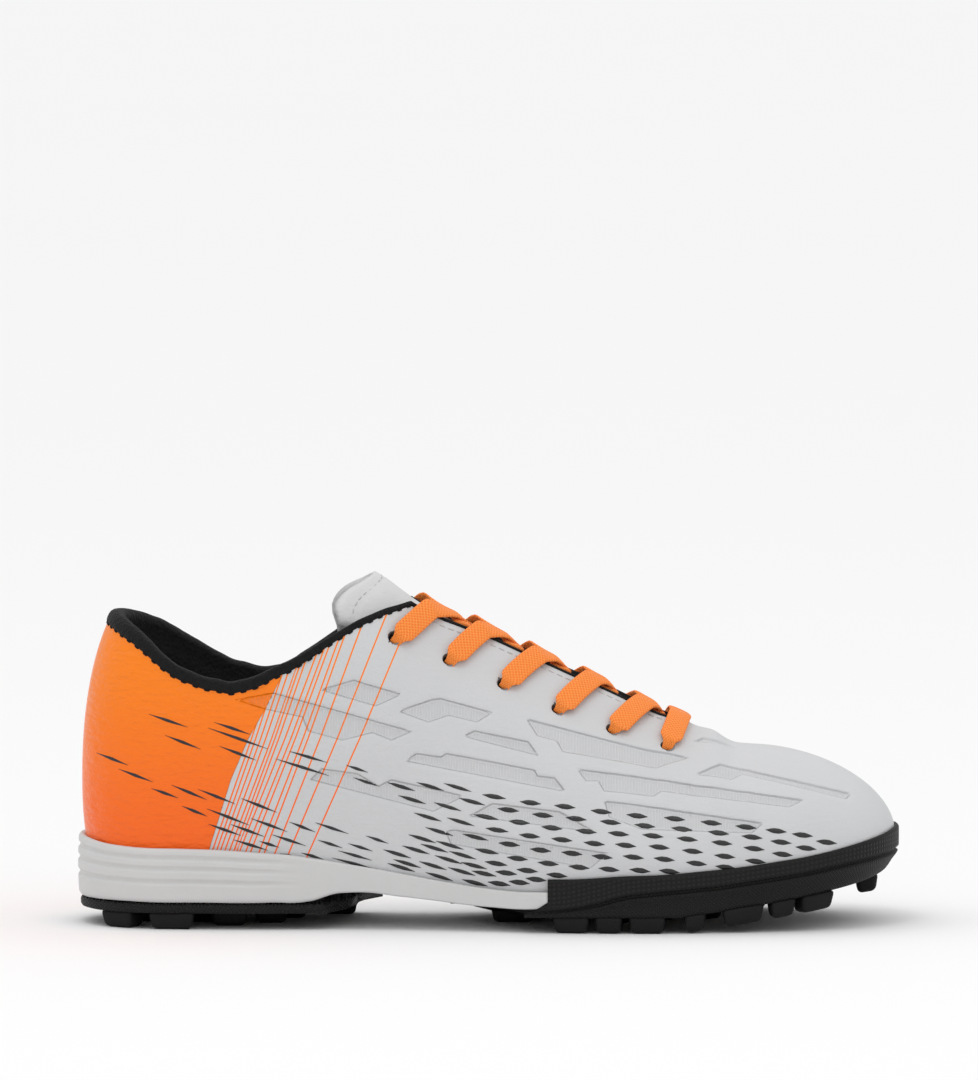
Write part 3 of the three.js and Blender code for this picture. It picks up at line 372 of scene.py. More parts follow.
# %% Mesh helpers
def grid_faces(rows, columns, round_rows=False, round_columns=False, skip=None):
    """Faces of a grid. Rows run one way, columns the other, and either may close on itself."""
    faces = []
    for i in range(rows if round_rows else rows - 1):
        for j in range(columns if round_columns else columns - 1):
            if skip is not None and skip(i, j):
                continue
            k = (i + 1) % rows
            m = (j + 1) % columns
            faces.append((i * columns + j, k * columns + j, k * columns + m, i * columns + m))
    return faces


def end_faces(rows, columns):
    """One face over each end of a tube."""
    return [tuple(range(columns)), tuple(range((rows - 1) * columns, rows * columns))]


def end_strips(rows, columns):
    """Faces that close both ends of a flat tube, from its upper half to its lower half."""
    faces = []
    for first in (0, (rows - 1) * columns):
        last = first + columns - 1
        faces += [(first + k, first + k + 1, last - 1 - k, last - k) for k in range(columns // 2 - 1)]
    return faces


WELD = 0.004
FINE_WELD = 0.0005


def make_piece(name, points, faces, finish, values=None, finish_of_face=None, weld=WELD):
    """One piece of the shoe from points in millimetres, riding on the shoe's only body."""
    mesh = bpy.data.meshes.new(name)
    mesh.from_pydata((np.asarray(points).reshape(-1, 3) * MM).tolist(), [], faces)
    for key, numbers in (values or {}).items():
        layer = mesh.attributes.new(key, "FLOAT", "POINT")
        layer.data.foreach_set("value", np.asarray(numbers, np.float32).ravel())
    finishes = finish if isinstance(finish, list) else [finish]
    for one in finishes:
        mesh.materials.append(one)
    if finish_of_face is not None:
        mesh.polygons.foreach_set("material_index", np.asarray(finish_of_face, np.int32))
    shape = bmesh.new()
    shape.from_mesh(mesh)
    bmesh.ops.remove_doubles(shape, verts=shape.verts, dist=weld * MM)
    bmesh.ops.dissolve_degenerate(shape, edges=shape.edges, dist=0.001 * MM)
    bmesh.ops.recalc_face_normals(shape, faces=shape.faces)
    shape.to_mesh(mesh)
    shape.free()
    mesh.polygons.foreach_set("use_smooth", np.ones(len(mesh.polygons), bool))
    piece = bpy.data.objects.new(name, mesh)
    scene.collection.objects.link(piece)
    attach(piece, "root")
    print(name, "faces", len(mesh.polygons))
    return piece


def unit(ways):
    """The same ways with a length of one."""
    return ways / np.linalg.norm(ways, axis=-1, keepdims=True)


def merged(parts):
    """Many small point-and-face sets as one set."""
    points = []
    faces = []
    for part_points, part_faces in parts:
        shift = len(points)
        points.extend(np.asarray(part_points).reshape(-1, 3).tolist())
        faces.extend([tuple(i + shift for i in face) for face in part_faces])
    return np.array(points), faces


def joined_piece(name, parts, finish):
    """Many small parts as one piece."""
    points, faces = merged(parts)
    return make_piece(name, points, faces, finish, weld=FINE_WELD)


print("welds", WELD, FINE_WELD)

# %% [markdown]
# A finish is a small network of nodes. Colour, gloss and a fine height map, the bump, say what
# the hand would feel: grain, weave or nap. Helpers keep each network short, and every texture is
# worked out from the place on the shoe, so nothing has to be painted or unwrapped.

# %% Finish helpers
class Finish:
    """A material with a few short calls to wire its nodes."""

    def __init__(self, name, colour, roughness, specular=0.5, coat=0.0, sheen=0.0):
        self.made = bpy.data.materials.new(name)
        self.made.use_nodes = True
        self.tree = self.made.node_tree
        self.shader = self.tree.nodes["Principled BSDF"]
        self.shader.inputs["Base Color"].default_value = (*colour, 1)
        self.shader.inputs["Roughness"].default_value = roughness
        self.shader.inputs["Specular IOR Level"].default_value = specular
        self.shader.inputs["Coat Weight"].default_value = coat
        self.shader.inputs["Sheen Weight"].default_value = sheen
        self.place = self.node("ShaderNodeTexCoord").outputs["Object"]
        self.last_bump = None

    def node(self, kind, **settings):
        """A new node of this kind."""
        node = self.tree.nodes.new(kind)
        for key, value in settings.items():
            setattr(node, key, value)
        return node

    def put(self, socket, value):
        """A wire into the socket, or a value on it."""
        if isinstance(value, bpy.types.NodeSocket):
            self.tree.links.new(value, socket)
        elif isinstance(value, tuple) and len(value) == 3 and socket.type == "RGBA":
            socket.default_value = (*value, 1)
        else:
            socket.default_value = value

    def number(self, name):
        """A number that rides on the piece's points."""
        return self.node("ShaderNodeAttribute", attribute_name=name).outputs["Fac"]

    def maths(self, operation, first, second=0.0, third=None):
        """A sum of two or three numbers."""
        node = self.node("ShaderNodeMath", operation=operation)
        self.put(node.inputs[0], first)
        self.put(node.inputs[1], second)
        if third is not None:
            self.put(node.inputs[2], third)
        return node.outputs[0]

    def between(self, value, start, end, low=0.0, high=1.0):
        """A number taken smoothly from one range to another."""
        node = self.node("ShaderNodeMapRange", interpolation_type="SMOOTHSTEP")
        self.put(node.inputs["Value"], value)
        self.put(node.inputs["From Min"], start)
        self.put(node.inputs["From Max"], end)
        self.put(node.inputs["To Min"], low)
        self.put(node.inputs["To Max"], high)
        return node.outputs["Result"]

    def stretched(self, scale):
        """The place with its three directions scaled, for grain that runs one way."""
        node = self.node("ShaderNodeMapping")
        self.put(node.inputs["Vector"], self.place)
        node.inputs["Scale"].default_value = scale
        return node.outputs["Vector"]

    def clouds(self, size, place=None, detail=3.0, rough=0.5):
        """Soft random patches of about this size in millimetres."""
        node = self.node("ShaderNodeTexNoise")
        self.put(node.inputs["Vector"], place or self.place)
        node.inputs["Scale"].default_value = 1 / (size * MM)
        node.inputs["Detail"].default_value = detail
        node.inputs["Roughness"].default_value = rough
        return node.outputs["Fac"]

    def cells(self, size, place=None):
        """Rounded cells of about this size, as in grain."""
        node = self.node("ShaderNodeTexVoronoi")
        self.put(node.inputs["Vector"], place or self.place)
        node.inputs["Scale"].default_value = 1 / (size * MM)
        return node.outputs["Distance"]

    def wave(self, value, pitch):
        """A ripple from 0 to 1 along a number in millimetres."""
        turn = self.maths("MULTIPLY", value, 2 * math.pi / pitch)
        return self.maths("MULTIPLY_ADD", self.maths("SINE", turn), 0.5, 0.5)

    def mix(self, share, first, second):
        """A colour between two others."""
        node = self.node("ShaderNodeMix", data_type="RGBA")
        self.put(node.inputs["Factor"], share)
        self.put(node.inputs["A"], first)
        self.put(node.inputs["B"], second)
        return node.outputs["Result"]

    def colour(self, value):
        """A colour, or nodes that make one."""
        self.put(self.shader.inputs["Base Color"], value)

    def patched(self, size, first, second):
        """Two near colours in soft patches, so that no face is quite even."""
        self.colour(self.mix(self.clouds(size), first, second))

    def rough(self, value):
        """How dull the surface is."""
        self.put(self.shader.inputs["Roughness"], value)

    def bump(self, height, depth):
        """Relief of this depth in millimetres where the height goes from 0 to 1."""
        node = self.node("ShaderNodeBump")
        node.inputs["Distance"].default_value = depth * MM
        self.put(node.inputs["Height"], height)
        if self.last_bump is not None:
            self.put(node.inputs["Normal"], self.last_bump)
        self.last_bump = node.outputs["Normal"]
        self.put(self.shader.inputs["Normal"], self.last_bump)


print("a finish can use", [name for name in vars(Finish) if not name.startswith("_")])

# %% [markdown]
# The upper's panels are pressed a little into the leather between fields of fine ribs, and the
# heel is orange with thin orange lines fading forward. Each panel is drawn as its corners on the
# shoe's side, as distance from the heel and height as seen. A signed distance to those corners
# gives the press-in its soft edge and tells the finish where the ribs are.

# %% Panels and colour edges on the side
SEEN_TILT = CAMERA_RISE

side_panels = {
    "rear_top": [(83, 77.9), (94.3, 81.3), (98.7, 79.9), (110.7, 76.5), (101.8, 72.4)],
    "long_upper": [(54.3, 74.5), (67, 76.9), (114.1, 63.9), (107.1, 60.8), (100.8, 63.4), (90.5, 60.8),
                   (78.9, 63.9), (76.9, 68.7), (63.9, 71.4)],
    "front_top": [(109.3, 70.7), (120.6, 74.8), (123.7, 75.2), (141.3, 70.4), (136, 67), (126.4, 69.4),
                  (119.6, 67)],
    "lace_side": [(131.2, 62.2), (135.3, 64.2), (153.4, 60.5), (156.8, 55.7)],
    "middle": [(111.7, 53.8), (115.5, 56.4), (123.7, 55.3), (125.7, 56.5), (155.5, 50.9), (156.5, 48.9),
               (162.3, 48.2), (166.1, 43.4)],
    "low_middle": [(79.6, 47.5), (83.4, 51.2), (95.7, 49.5), (102.8, 45.3), (106.9, 47.5), (131.9, 42),
                   (121.3, 36.7)],
    "low_front": [(132.7, 35.2), (135.3, 36.2), (141.3, 39.5), (164, 36.7), (176, 29.7)],
    "lowest": [(125.4, 30.1), (128.5, 30.4), (180.4, 22.5), (174.3, 17.4), (127.1, 25.6)],
    "vamp_top": [(152.7, 68.3), (188.3, 59.1), (207.9, 55.3), (196.8, 51.6), (165, 57.1), (163, 60.8),
                 (156.5, 62.4)],
    "vamp_middle": [(169.8, 51.2), (191.7, 48.5), (246.7, 40.7), (241.6, 38.3), (198.5, 43.7),
                    (195.8, 42), (179, 43.7), (177, 47.1), (172.9, 47.1)],
    "vamp_low": [(179, 40.3), (191.7, 38.9), (232.8, 32.8), (228.9, 29.4), (191.7, 30.7), (180.7, 34.8)],
    "toe_top": [(209.8, 49.7), (218.7, 53), (263.1, 43), (261.4, 41.2), (236.8, 47.1), (225.8, 49.5),
                (222.1, 47.8)],
    "vamp_tip": [(209.8, 61.3), (213, 62.5), (224.5, 58.8)],
}
orange_edge = [(74, 92), (71.8, 86.1), (64.6, 71.7), (58.8, 61.5), (52.8, 47.5), (45.4, 24.1), (43, 12)]
line_ats_low = [46.3, 47.7, 49, 50.5, 52.1, 53.6, 54.7, 55.6, 57.7, 59.4, 62.3, 64.2, 67.8, 72.5, 79.2]
line_ats_high = [59.8, 61.2, 62.9, 64.6, 66.6, 67.7, 69, 71.1, 73.1, 74.6, 77.2, 78.9, 83, 88.8, 96.4]
LINE_LOW = 23.2
LINE_HIGH = 61.5
print("panels", len(side_panels), "orange lines", len(line_ats_low))

# %% [markdown]
# The skin has to know where it lies among those drawings. A signed distance says how deep inside a
# panel a point is, and a count is whole on each orange line. They are worked out once for each
# point and ride on the mesh, which stays sharper than a painted picture and needs no unwrapping.

# %% Distances to the panels and lines
EDGE_LEAN = 0.9
HIGH_LINES_CLOSE = 0.92
LINE_REACH = 0.7
LAST_LINE_ROOM = 8.0


def seen(points):
    """Distance from the heel's end and height, as the shoe's side is seen from the camera's height."""
    along = points[..., 0] + LENGTH / 2
    middle = np.abs(points[..., 1])
    return along, points[..., 2] * math.cos(SEEN_TILT) - middle * math.sin(SEEN_TILT)


def inside_by(along, height, corners):
    """How far inside a panel a place is, and below 0 how far outside."""
    corners = np.array(corners, float)
    nearest = np.full(along.shape, 1e9)
    inside = np.zeros(along.shape, bool)
    for (ax, ay), (bx, by) in zip(corners, np.roll(corners, -1, 0)):
        t = ((along - ax) * (bx - ax) + (height - ay) * (by - ay)) / ((bx - ax) ** 2 + (by - ay) ** 2)
        t = np.clip(t, 0, 1)
        away = np.hypot(along - ax - t * (bx - ax), height - ay - t * (by - ay))
        nearest = np.minimum(nearest, away)
        crosses = (ay > height) != (by > height)
        where = ax + (height - ay) / (by - ay if by != ay else 1e-9) * (bx - ax)
        inside ^= crosses & (along < where)
    return np.where(inside, nearest, -nearest)


def in_panels(along, height):
    """How far inside the nearest panel a place is."""
    return np.max([inside_by(along, height, corners) for corners in side_panels.values()], 0)


def behind_orange_edge(along, height):
    """Millimetres behind the slanting edge between the orange heel and the grey."""
    edge = np.array(sorted(orange_edge, key=lambda corner: corner[1]))
    return (np.interp(height, edge[:, 1], edge[:, 0]) - along) * EDGE_LEAN


def line_count(along, height):
    """A number that is whole on each thin orange line, and the room between two lines there."""
    share = (height - LINE_LOW) / (LINE_HIGH - LINE_LOW)
    share = np.where(share > 1, 1 + (share - 1) * HIGH_LINES_CLOSE, share)
    ats = [blend(low, high, share) for low, high in zip(line_ats_low, line_ats_high)]
    count = np.full(along.shape, -0.5)
    room = np.full(along.shape, 2.0)
    for i, (this, following) in enumerate(zip(ats[:-1], ats[1:])):
        within = (along >= this - LINE_REACH) & (along < following)
        count = np.where(within, i + (along - this) / (following - this), count)
        room = np.where(within, following - this, room)
    beyond = along >= ats[-1]
    count = np.where(beyond, len(ats) - 1 + (along - ats[-1]) / LAST_LINE_ROOM, count)
    return count, np.where(beyond, LAST_LINE_ROOM, room)


panel_middle = np.mean(side_panels["low_front"], 0)
print("inside a panel by", round(float(in_panels(*panel_middle)), 2), "mm at its middle")

# %% [markdown]
# Leather that bends keeps soft creases, across the toes, under the ankle and beside the laces. They
# could be bump, but a light from the side shows that bump has no outline. So each crease is a
# trough in the skin itself, with a low ridge on both sides.

# %% Creases
CREASE_HEIGHT = 40.0
RIDGE_SHARE = 0.5
RIDGE_AT = 1.7
BALL_AT = 0.6
creases = [
    (0.735, 0.35, 4.5, 0.10), (0.765, 0.3, 4.0, -0.08), (0.79, 0.22, 3.5, 0.05), (0.7, 0.18, 5.0, -0.05),
    (0.235, 0.3, 4.5, 0.22), (0.2, 0.2, 4.0, 0.16), (0.455, 0.2, 5.0, -0.12)]


def crease_depth(points, level):
    """Depth of the creases: where along the shoe, how deep, how wide and how slanting."""
    depth = np.zeros(level.shape)
    for at, deep, wide, slant in creases:
        middle = (at - .5) * LENGTH + slant * (points[..., 2] - CREASE_HEIGHT)
        off = (points[..., 0] - middle) / wide
        if at > BALL_AT:
            fade = soft_step(level, 1.05, 1.35)
        else:
            fade = soft_step(level, .9, 1.1) * soft_step(level, 1.6, 1.3)
        ridges = np.exp(-(np.abs(off) - RIDGE_AT) ** 2 * 2)
        depth += deep * fade * (np.exp(-off ** 2) - RIDGE_SHARE * ridges)
    return depth


print("creases", len(creases))

# %% [markdown]
# The leather. The whole skin carries a fine pebbled grain. Where the heel is orange the film is
# glossier and shows a wrinkled grain. One finish holds both colours, because on the real shoe
# they are one film printed in two colours, and their edge stays sharp at any distance.

# %% Leather finish
GREY = (0.58, 0.585, 0.595)
PALE = (0.63, 0.635, 0.645)
ORANGE = (0.98, 0.14, 0.008)
# Orange with painted light, used towards the top of the orange heel.
PAINTED_LIGHT_ORANGE = (1.0, 0.235, 0.004)
LINE_WIDTH = 0.5
RIB_PITCH = 0.95
# Colour of the painted shade in the troughs between the ribs of the pressed panels.
RIB_PAINTED_SHADE = (0.3, 0.3, 0.31)

leather = Finish("pressed_leather", GREY, 0.45, specular=0.32, coat=0.03)
behind = leather.number("behind_edge")
panel = leather.number("panel")
count = leather.number("line")
room = leather.number("line_room")
from_line = leather.maths("MULTIPLY", leather.maths("PINGPONG", count, 0.5), room)
on_line = leather.between(from_line, LINE_WIDTH / 2 + 0.12, LINE_WIDTH / 2 - 0.06)
has_lines = leather.between(count, -0.4, -0.3)
last_line = len(line_ats_low) - 1
in_front = leather.between(count, last_line + 0.45, last_line + 0.3)
on_line = leather.maths("MULTIPLY", on_line, leather.maths("MULTIPLY", has_lines, in_front))
is_orange = leather.between(behind, -0.1, 0.12)
patches = leather.clouds(26, detail=2)
grey = leather.mix(patches, GREY, PALE)
height_on_shoe = leather.node("ShaderNodeSeparateXYZ")
leather.put(height_on_shoe.inputs[0], leather.place)
along_part = height_on_shoe.outputs["X"]
# Painted light: the orange is painted lighter towards the top, where more light falls from above, and
# redder below.
painted_light_upward = leather.between(height_on_shoe.outputs["Z"], 0.02, 0.1)
orange = leather.mix(painted_light_upward, ORANGE, PAINTED_LIGHT_ORANGE)
coloured = leather.mix(leather.maths("MAXIMUM", is_orange, on_line), grey, orange)
leather.rough(leather.between(is_orange, 0, 1, 0.46, 0.34))
wrinkle_place = leather.stretched((0.42, 0.42, 1.3))
wrinkles = leather.clouds(2.2, wrinkle_place, detail=2, rough=0.5)
leather.bump(leather.maths("MULTIPLY", wrinkles, leather.maths("MULTIPLY_ADD", is_orange, 0.8, 0.2)), 0.9)
leather.bump(leather.cells(0.85), 0.05)
ribs = leather.wave(leather.maths("MULTIPLY", along_part, 1000.0), RIB_PITCH)
in_panel = leather.between(panel, 0.35, 0.9)
ribs_here = leather.maths("MULTIPLY", ribs, in_panel)
leather.bump(ribs_here, 0.13)
leather.bump(leather.between(panel, -0.25, 0.45), -0.7)
# Painted shade: inside the pressed panels the troughs between the ribs are coloured a little darker, where
# shade falls.
painted_shade_in_hollows = leather.maths("SUBTRACT", in_panel, ribs_here)
leather.colour(leather.mix(leather.maths("MULTIPLY", painted_shade_in_hollows, 0.12), coloured, RIB_PAINTED_SHADE))
print("finish", leather.made.name, "nodes", len(leather.tree.nodes))

# %% [markdown]
# The lining is black knitted cloth. Small stretched cells as bump look like its loops from a
# hand's distance, and soft patches of a paler black keep it from looking like a hole.

# %% Lining finish
lining = Finish("knit_lining", (0.016, 0.016, 0.017), 0.9, specular=0.15, sheen=0.05)
lining.bump(lining.cells(0.9, lining.stretched((1.0, 1.0, 1.5))), 0.35)
lining.patched(9, (0.012, 0.012, 0.013), (0.03, 0.03, 0.031))
print("finish", lining.made.name)

# %% [markdown]
# The upper is one hollow shell. On the real shoe the panels are pressed into the film under heat.
# Here its outer skin, about a millimetre between points, is moved in where the panels are and along
# the creases. A panel fades where the skin turns away from the side, as it was drawn from there.

# %% Upper skin
PANEL_DEPTH = 0.75
OUTER_LEVELS = 92
INNER_LEVELS = 14
LEAST_FACING = 0.24
FACING_RUN = 14.0

outer_levels = levels_evenly(ring, 0.0, edges, OUTER_LEVELS)
flat_skin = skin(widened(ring), outer_levels)
along, height = seen(flat_skin)
panel_by = in_panels(along, height)
outward = skin(widened(ring), outer_levels, -1.0) - flat_skin
facing = np.abs(outward[..., 1]) * math.cos(SEEN_TILT) + outward[..., 2] * math.sin(SEEN_TILT)
panel_by = np.minimum(panel_by, (facing - LEAST_FACING) * FACING_RUN)
press = PANEL_DEPTH * soft_step(panel_by, -0.35, 0.75)
depths = press + crease_depth(flat_skin, outer_levels)
outer_skin = skin(widened(ring), outer_levels, depths)
inner_levels = levels_evenly(ring, edges, 0.0, INNER_LEVELS)
inner_skin = skin(widened(ring), inner_levels, WALL)
print("pressed in by up to", round(float(depths.max()), 2), "mm")

# %% [markdown]
# Twelve eyelets are punched through the leather beside the opening, in a line that nears the edge
# towards the collar. A boolean cut would leave long thin faces. Instead the points near each eyelet
# are drawn onto its circle and the faces within it are left out, so the grid stays even.

# %% Eyelets
EYELETS = 6
PITCH = 18.5
LAST_EYELET = 8.0
EYELET_FROM_EDGE = 16.0
EYELET_RADIUS = 2.3
PUNCH_REACH = 0.55
PUNCH_DEPTH = 4.0
eyelet_line = [1.15, 1.22, 1.2, 1.1, .98, .72]


def eyelet(side, index):
    """Place of an eyelet: share of the length, distance out, its point and its outward direction."""
    at = np.array([(THROAT_END - LAST_EYELET - index * PITCH) / LENGTH])
    station = side_station(side, at)
    level = levels_along(station, edge_level(station), [[EYELET_FROM_EDGE * eyelet_line[index]]])[:, 0]
    point = skin(station, level)[0]
    normal = skin(station, level, -1.0)[0] - point
    return dict(at=float(at[0]), out=side * abs(point[1] - station["y"][0]), point=point, normal=normal)


eyelet_places = [eyelet(side, index) for side in (OUTER, INNER) for index in range(EYELETS)]


def punch(points, keep):
    """Draw points near each eyelet onto its circle, and mark those that were inside it."""
    flat = points.reshape(-1, 3)
    hole = np.zeros(len(flat), bool)
    for place in eyelet_places:
        off = flat - place["point"]
        deep = off @ place["normal"]
        level_off = off - deep[:, None] * place["normal"]
        away = np.linalg.norm(level_off, axis=1)
        near = (np.abs(deep) < PUNCH_DEPTH) & (away < EYELET_RADIUS + keep)
        hole |= near & (away < EYELET_RADIUS - keep)
        onto = near & (away >= EYELET_RADIUS - keep)
        flat[onto] += level_off[onto] * (EYELET_RADIUS / away[onto] - 1)[:, None]
    return hole.reshape(points.shape[:-1])


outer_hole = punch(outer_skin, PUNCH_REACH)
print("eyelets", len(eyelet_places), "points left out", int(outer_hole.sum()))

# %% [markdown]
# Outside, edge and lining are sewn into one shell, which is what the hand feels at the collar. One
# grid carries all three, with a finish for each face, so that no gap can open between them. Beyond
# the opening's end the two sides meet on the crown, and no edge strip is needed.

# %% Upper
NO_PANEL = -9.0
NO_LINE = -0.5
NO_LINE_ROOM = 2.0

upper_grid = np.concatenate([outer_skin, inner_skin], 1)
holes = np.concatenate([outer_hole, np.zeros(inner_skin.shape[:-1], bool)], 1).ravel()
shut = ring["at"] >= THROAT_END_AT
stations = len(ring["at"])
levels = OUTER_LEVELS + INNER_LEVELS


def no_edge(i, j):
    """True where the shell's edge strip would lie inside the closed crown."""
    return j == OUTER_LEVELS - 1 and shut[i] and shut[(i + 1) % stations]


upper_faces = grid_faces(stations, levels, True, True, no_edge)
upper_faces = [face for face in upper_faces if not any(holes[i] for i in face)]
inside_faces = [int(min(i % levels for i in face) >= OUTER_LEVELS - 1) for face in upper_faces]
counts, rooms = line_count(along, height)
lining_points = inner_skin.shape[:-1]
upper_values = {
    "panel": np.concatenate([panel_by, np.full(lining_points, NO_PANEL)], 1),
    "behind_edge": np.concatenate([behind_orange_edge(along, height), np.full(lining_points, NO_PANEL)], 1),
    "line": np.concatenate([counts, np.full(lining_points, NO_LINE)], 1),
    "line_room": np.concatenate([rooms, np.full(lining_points, NO_LINE_ROOM)], 1),
}
upper = make_piece("pressed_upper", upper_grid, upper_faces, [leather.made, lining.made],
                   upper_values, inside_faces)
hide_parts("upper")

# %% [markdown]
# Small black lozenges are printed raised over the side, in rows that lean with the sole, and turn
# into thin dashes on the heel. A painted pattern would need a picture, while thin plates stay sharp
# at any size. First come their places: middles for the lozenges, and both ends for the dashes.

# %% Places of the lozenges
lozenge_rows = [
    [(110.4, 45.1), (120.3, 45.1), (129.5, 44.8), (141.8, 41.7), (154.1, 39.6), (165.7, 38.3),
     (178, 36.6), (190.1, 35.2), (202.8, 34.2), (215.2, 32.8), (226.9, 31.4), (237.1, 30.1),
     (246, 28.7), (254.2, 26.3)],
    [(114.1, 40.7), (126.1, 38.3), (134.3, 40), (146.6, 37.2), (158.2, 35.4), (169.5, 34.2),
     (181.1, 33), (192.7, 31.8), (205.2, 30.7), (217.6, 29.4), (228.9, 28), (238.7, 26.3), (247.2, 24.3)],
    [(119.4, 34.8), (130.5, 33.2), (139.1, 34.8), (150.3, 33), (161.3, 31.1), (172.9, 29.9),
     (183.8, 29.1), (195.4, 28.4), (207, 27.3), (218.7, 26), (229.6, 24.1), (239.2, 22.2)],
    [(123.3, 29.9), (135.5, 28), (142.8, 30.4), (153.8, 28.4), (164.7, 27.1), (175.6, 25.8),
     (186.2, 25.2), (197.5, 24.6), (208.8, 23.2), (219.7, 21.5), (230.1, 19.8)],
    [(117.5, 27.5), (126.8, 25.3), (139.3, 23.2), (146.9, 25.6), (157.5, 23.6), (168.1, 22.5),
     (178.3, 21.3), (188.8, 21.2), (199.2, 20.5), (210.1, 19.1), (220, 17.8)],
    [(115.4, 23.7), (121.6, 24.3), (131.2, 21.9), (149.7, 20.8), (160.1, 19.1), (170.5, 17.8),
     (180.6, 17.1), (191, 16.7), (200.9, 16.4)],
    [(109, 22.4), (126.4, 20.4), (135, 18.4), (142.5, 19.1), (153, 16.7), (163, 15.1)],
    [(112.4, 19.1), (121.1, 18.4), (130.9, 16.4), (138.4, 15.7), (145.9, 15.9), (156, 13.7)],
    [(110.4, 17.8), (123.3, 14.7), (135.3, 12.6), (143.5, 12.3), (150.3, 12.7)],
]
heel_dashes = [
    (24.9, 69.7, 38.1, 65.2), (47.1, 66.9, 59.3, 62.8), (45, 65, 65.2, 57.9), (30.5, 62.5, 42.5, 57.8),
    (48.9, 58.8, 61.4, 54), (6.8, 56.8, 17.9, 52.4), (14.5, 51.2, 26.3, 46.7), (72.5, 57.1, 85.3, 53.3),
    (68, 54.5, 86, 48.8), (91.7, 52.4, 99.2, 49.9), (94.1, 48.2, 102.8, 45.3), (25.7, 44.6, 34.9, 41.3),
    (32.6, 45.7, 44.6, 40.7), (41.5, 44.3, 54.2, 39.3), (56.1, 41.2, 68.3, 36.4), (36.1, 38.6, 44.7, 35.1),
    (44.5, 37.7, 58.9, 32.1), (59.5, 34.4, 71.8, 29.9), (45, 32.5, 56.1, 28.6), (52.6, 32.4, 64.1, 28.2),
    (72.5, 33.2, 81.2, 29.8), (81.2, 33, 92.5, 29.2), (53.5, 27.2, 65.2, 23.6), (62.3, 26.7, 69, 24.6),
    (66.6, 28.9, 78.1, 25.1), (82.1, 27.1, 90.5, 24.4), (92.4, 25.9, 100.8, 23.3), (98.5, 28.5, 106, 25.9),
    (89, 23.5, 100.4, 20.2), (86.8, 21.1, 101.5, 17.2), (69.2, 22.5, 75.3, 21.1), (76.4, 22.8, 84, 20.6)]
print("lozenges", sum(len(row) for row in lozenge_rows), "dashes", len(heel_dashes))

# %% [markdown]
# A print follows whatever lies under it. So each plate is a small grid, and every point of it is
# dropped onto the pressed skin by a straight look from the side. Its borders sink a little, which
# rounds them as ink does.

# %% Raised lozenges
PLATE_RISE = 0.12
PLATE_STEPS = 9
LOOK_FROM = 200.0
LEAST_WIDTH = 0.06
DASH_WIDTH = 1.05
DASH_SHARPNESS = 2.2
plate_profile = [(-1.08, -.1), (-.9, PLATE_RISE), (0, PLATE_RISE * 1.2), (.9, PLATE_RISE), (1.08, -.1)]
rows, columns = outer_skin.shape[:2]
skin_points = [tuple(point) for point in outer_skin.reshape(-1, 3).tolist()]
upper_tree = BVHTree.FromPolygons(skin_points, grid_faces(rows, columns, True))


def on_side(side, along, height, lift):
    """Point on the upper's side under a place seen from that side, raised a little."""
    look = Vector((0, -side * math.cos(SEEN_TILT), -math.sin(SEEN_TILT)))
    up = Vector((0, -side * math.sin(SEEN_TILT), math.cos(SEEN_TILT)))
    start = Vector((along - LENGTH / 2, 0, 0)) + up * height - look * LOOK_FROM
    place, normal = upper_tree.ray_cast(start, look)[:2]
    if place is None:
        return None
    if normal.dot(look) > 0:
        normal = -normal
    return np.array(place + normal * lift)


def lozenge(side, start, end, thick, sharpness=3.0):
    """A flat plate with pointed ends between two places, thickest in the middle."""
    start = np.array(start, float)
    end = np.array(end, float)
    across = np.array([start[1] - end[1], end[0] - start[0]])
    across = across / np.linalg.norm(across) * thick / 2
    points = []
    for share in np.linspace(0, 1, PLATE_STEPS):
        wide = min(1.0, sharpness * min(share, 1 - share))
        for offset, lift in plate_profile:
            spot = start + (end - start) * share + across * offset * max(wide, LEAST_WIDTH)
            placed = on_side(side, spot[0], spot[1], lift)
            if placed is None:
                return None
            points.append(placed)
    return np.array(points), grid_faces(PLATE_STEPS, len(plate_profile))


plates = []
for side in (OUTER, INNER):
    for row in lozenge_rows:
        for x, h in row:
            front = soft_step(x, 128, 150)
            half = blend(4.9, 3.6, front)
            lean = math.radians(blend(17, 6.5, front))
            step = np.array([math.cos(lean), -math.sin(lean)]) * half
            plates.append(lozenge(side, (x, h) - step, (x, h) + step, blend(1.2, 1.75, front)))
    for x0, h0, x1, h1 in heel_dashes:
        plates.append(lozenge(side, (x0, h0), (x1, h1), DASH_WIDTH, DASH_SHARPNESS))
plates = [plate for plate in plates if plate is not None]
black_print = Finish("black_print", (0.012, 0.012, 0.013), 0.42, coat=0.1)
black_print.bump(black_print.cells(0.7), 0.04)
joined_piece("raised_lozenges", plates, black_print.made)

# %% [markdown]
# The collar is bound with a soft knitted roll over foam. It hooks over the edge, swells inside
# above the heel and thins out to a narrow binding beside the laces. One cross-section that
# follows the edge all round, with its sizes running along it, gives the roll in one closed piece.

# %% Collar roll
rolls = table("at cover rise thick drop", [
    (0, 2.6, 2.9, 5.2, 34), (.05, 3, 2.7, 5.2, 34), (.1, 3.2, 2.2, 4.8, 34), (.16, 2.8, 1.7, 4.6, 34),
    (.24, 2.8, 1.6, 4.6, 34), (.285, 2.5, 1.4, 3.9, 33), (.321, 2, 1.3, 2.8, 30), (.36, 1.9, 1.1, 1.8, 24),
    (.4, 1.6, .8, 1.25, 14), (.44, 1, .45, .8, 8), (.74, 1, .4, .7, 7), (1, 1, .4, .7, 7)])
OUTSIDE_STEPS = 5
TOP_STEPS = 9
INSIDE_STEPS = 12
open_at = np.where(~shut)[0]
first_break = np.where(np.diff(open_at) > 1)[0][0] + 1
edge_order = np.concatenate([open_at[first_break:], open_at[:first_break]])
collar_stations = {key: value[edge_order] for key, value in ring.items()}
collar_edge = edges[edge_order]


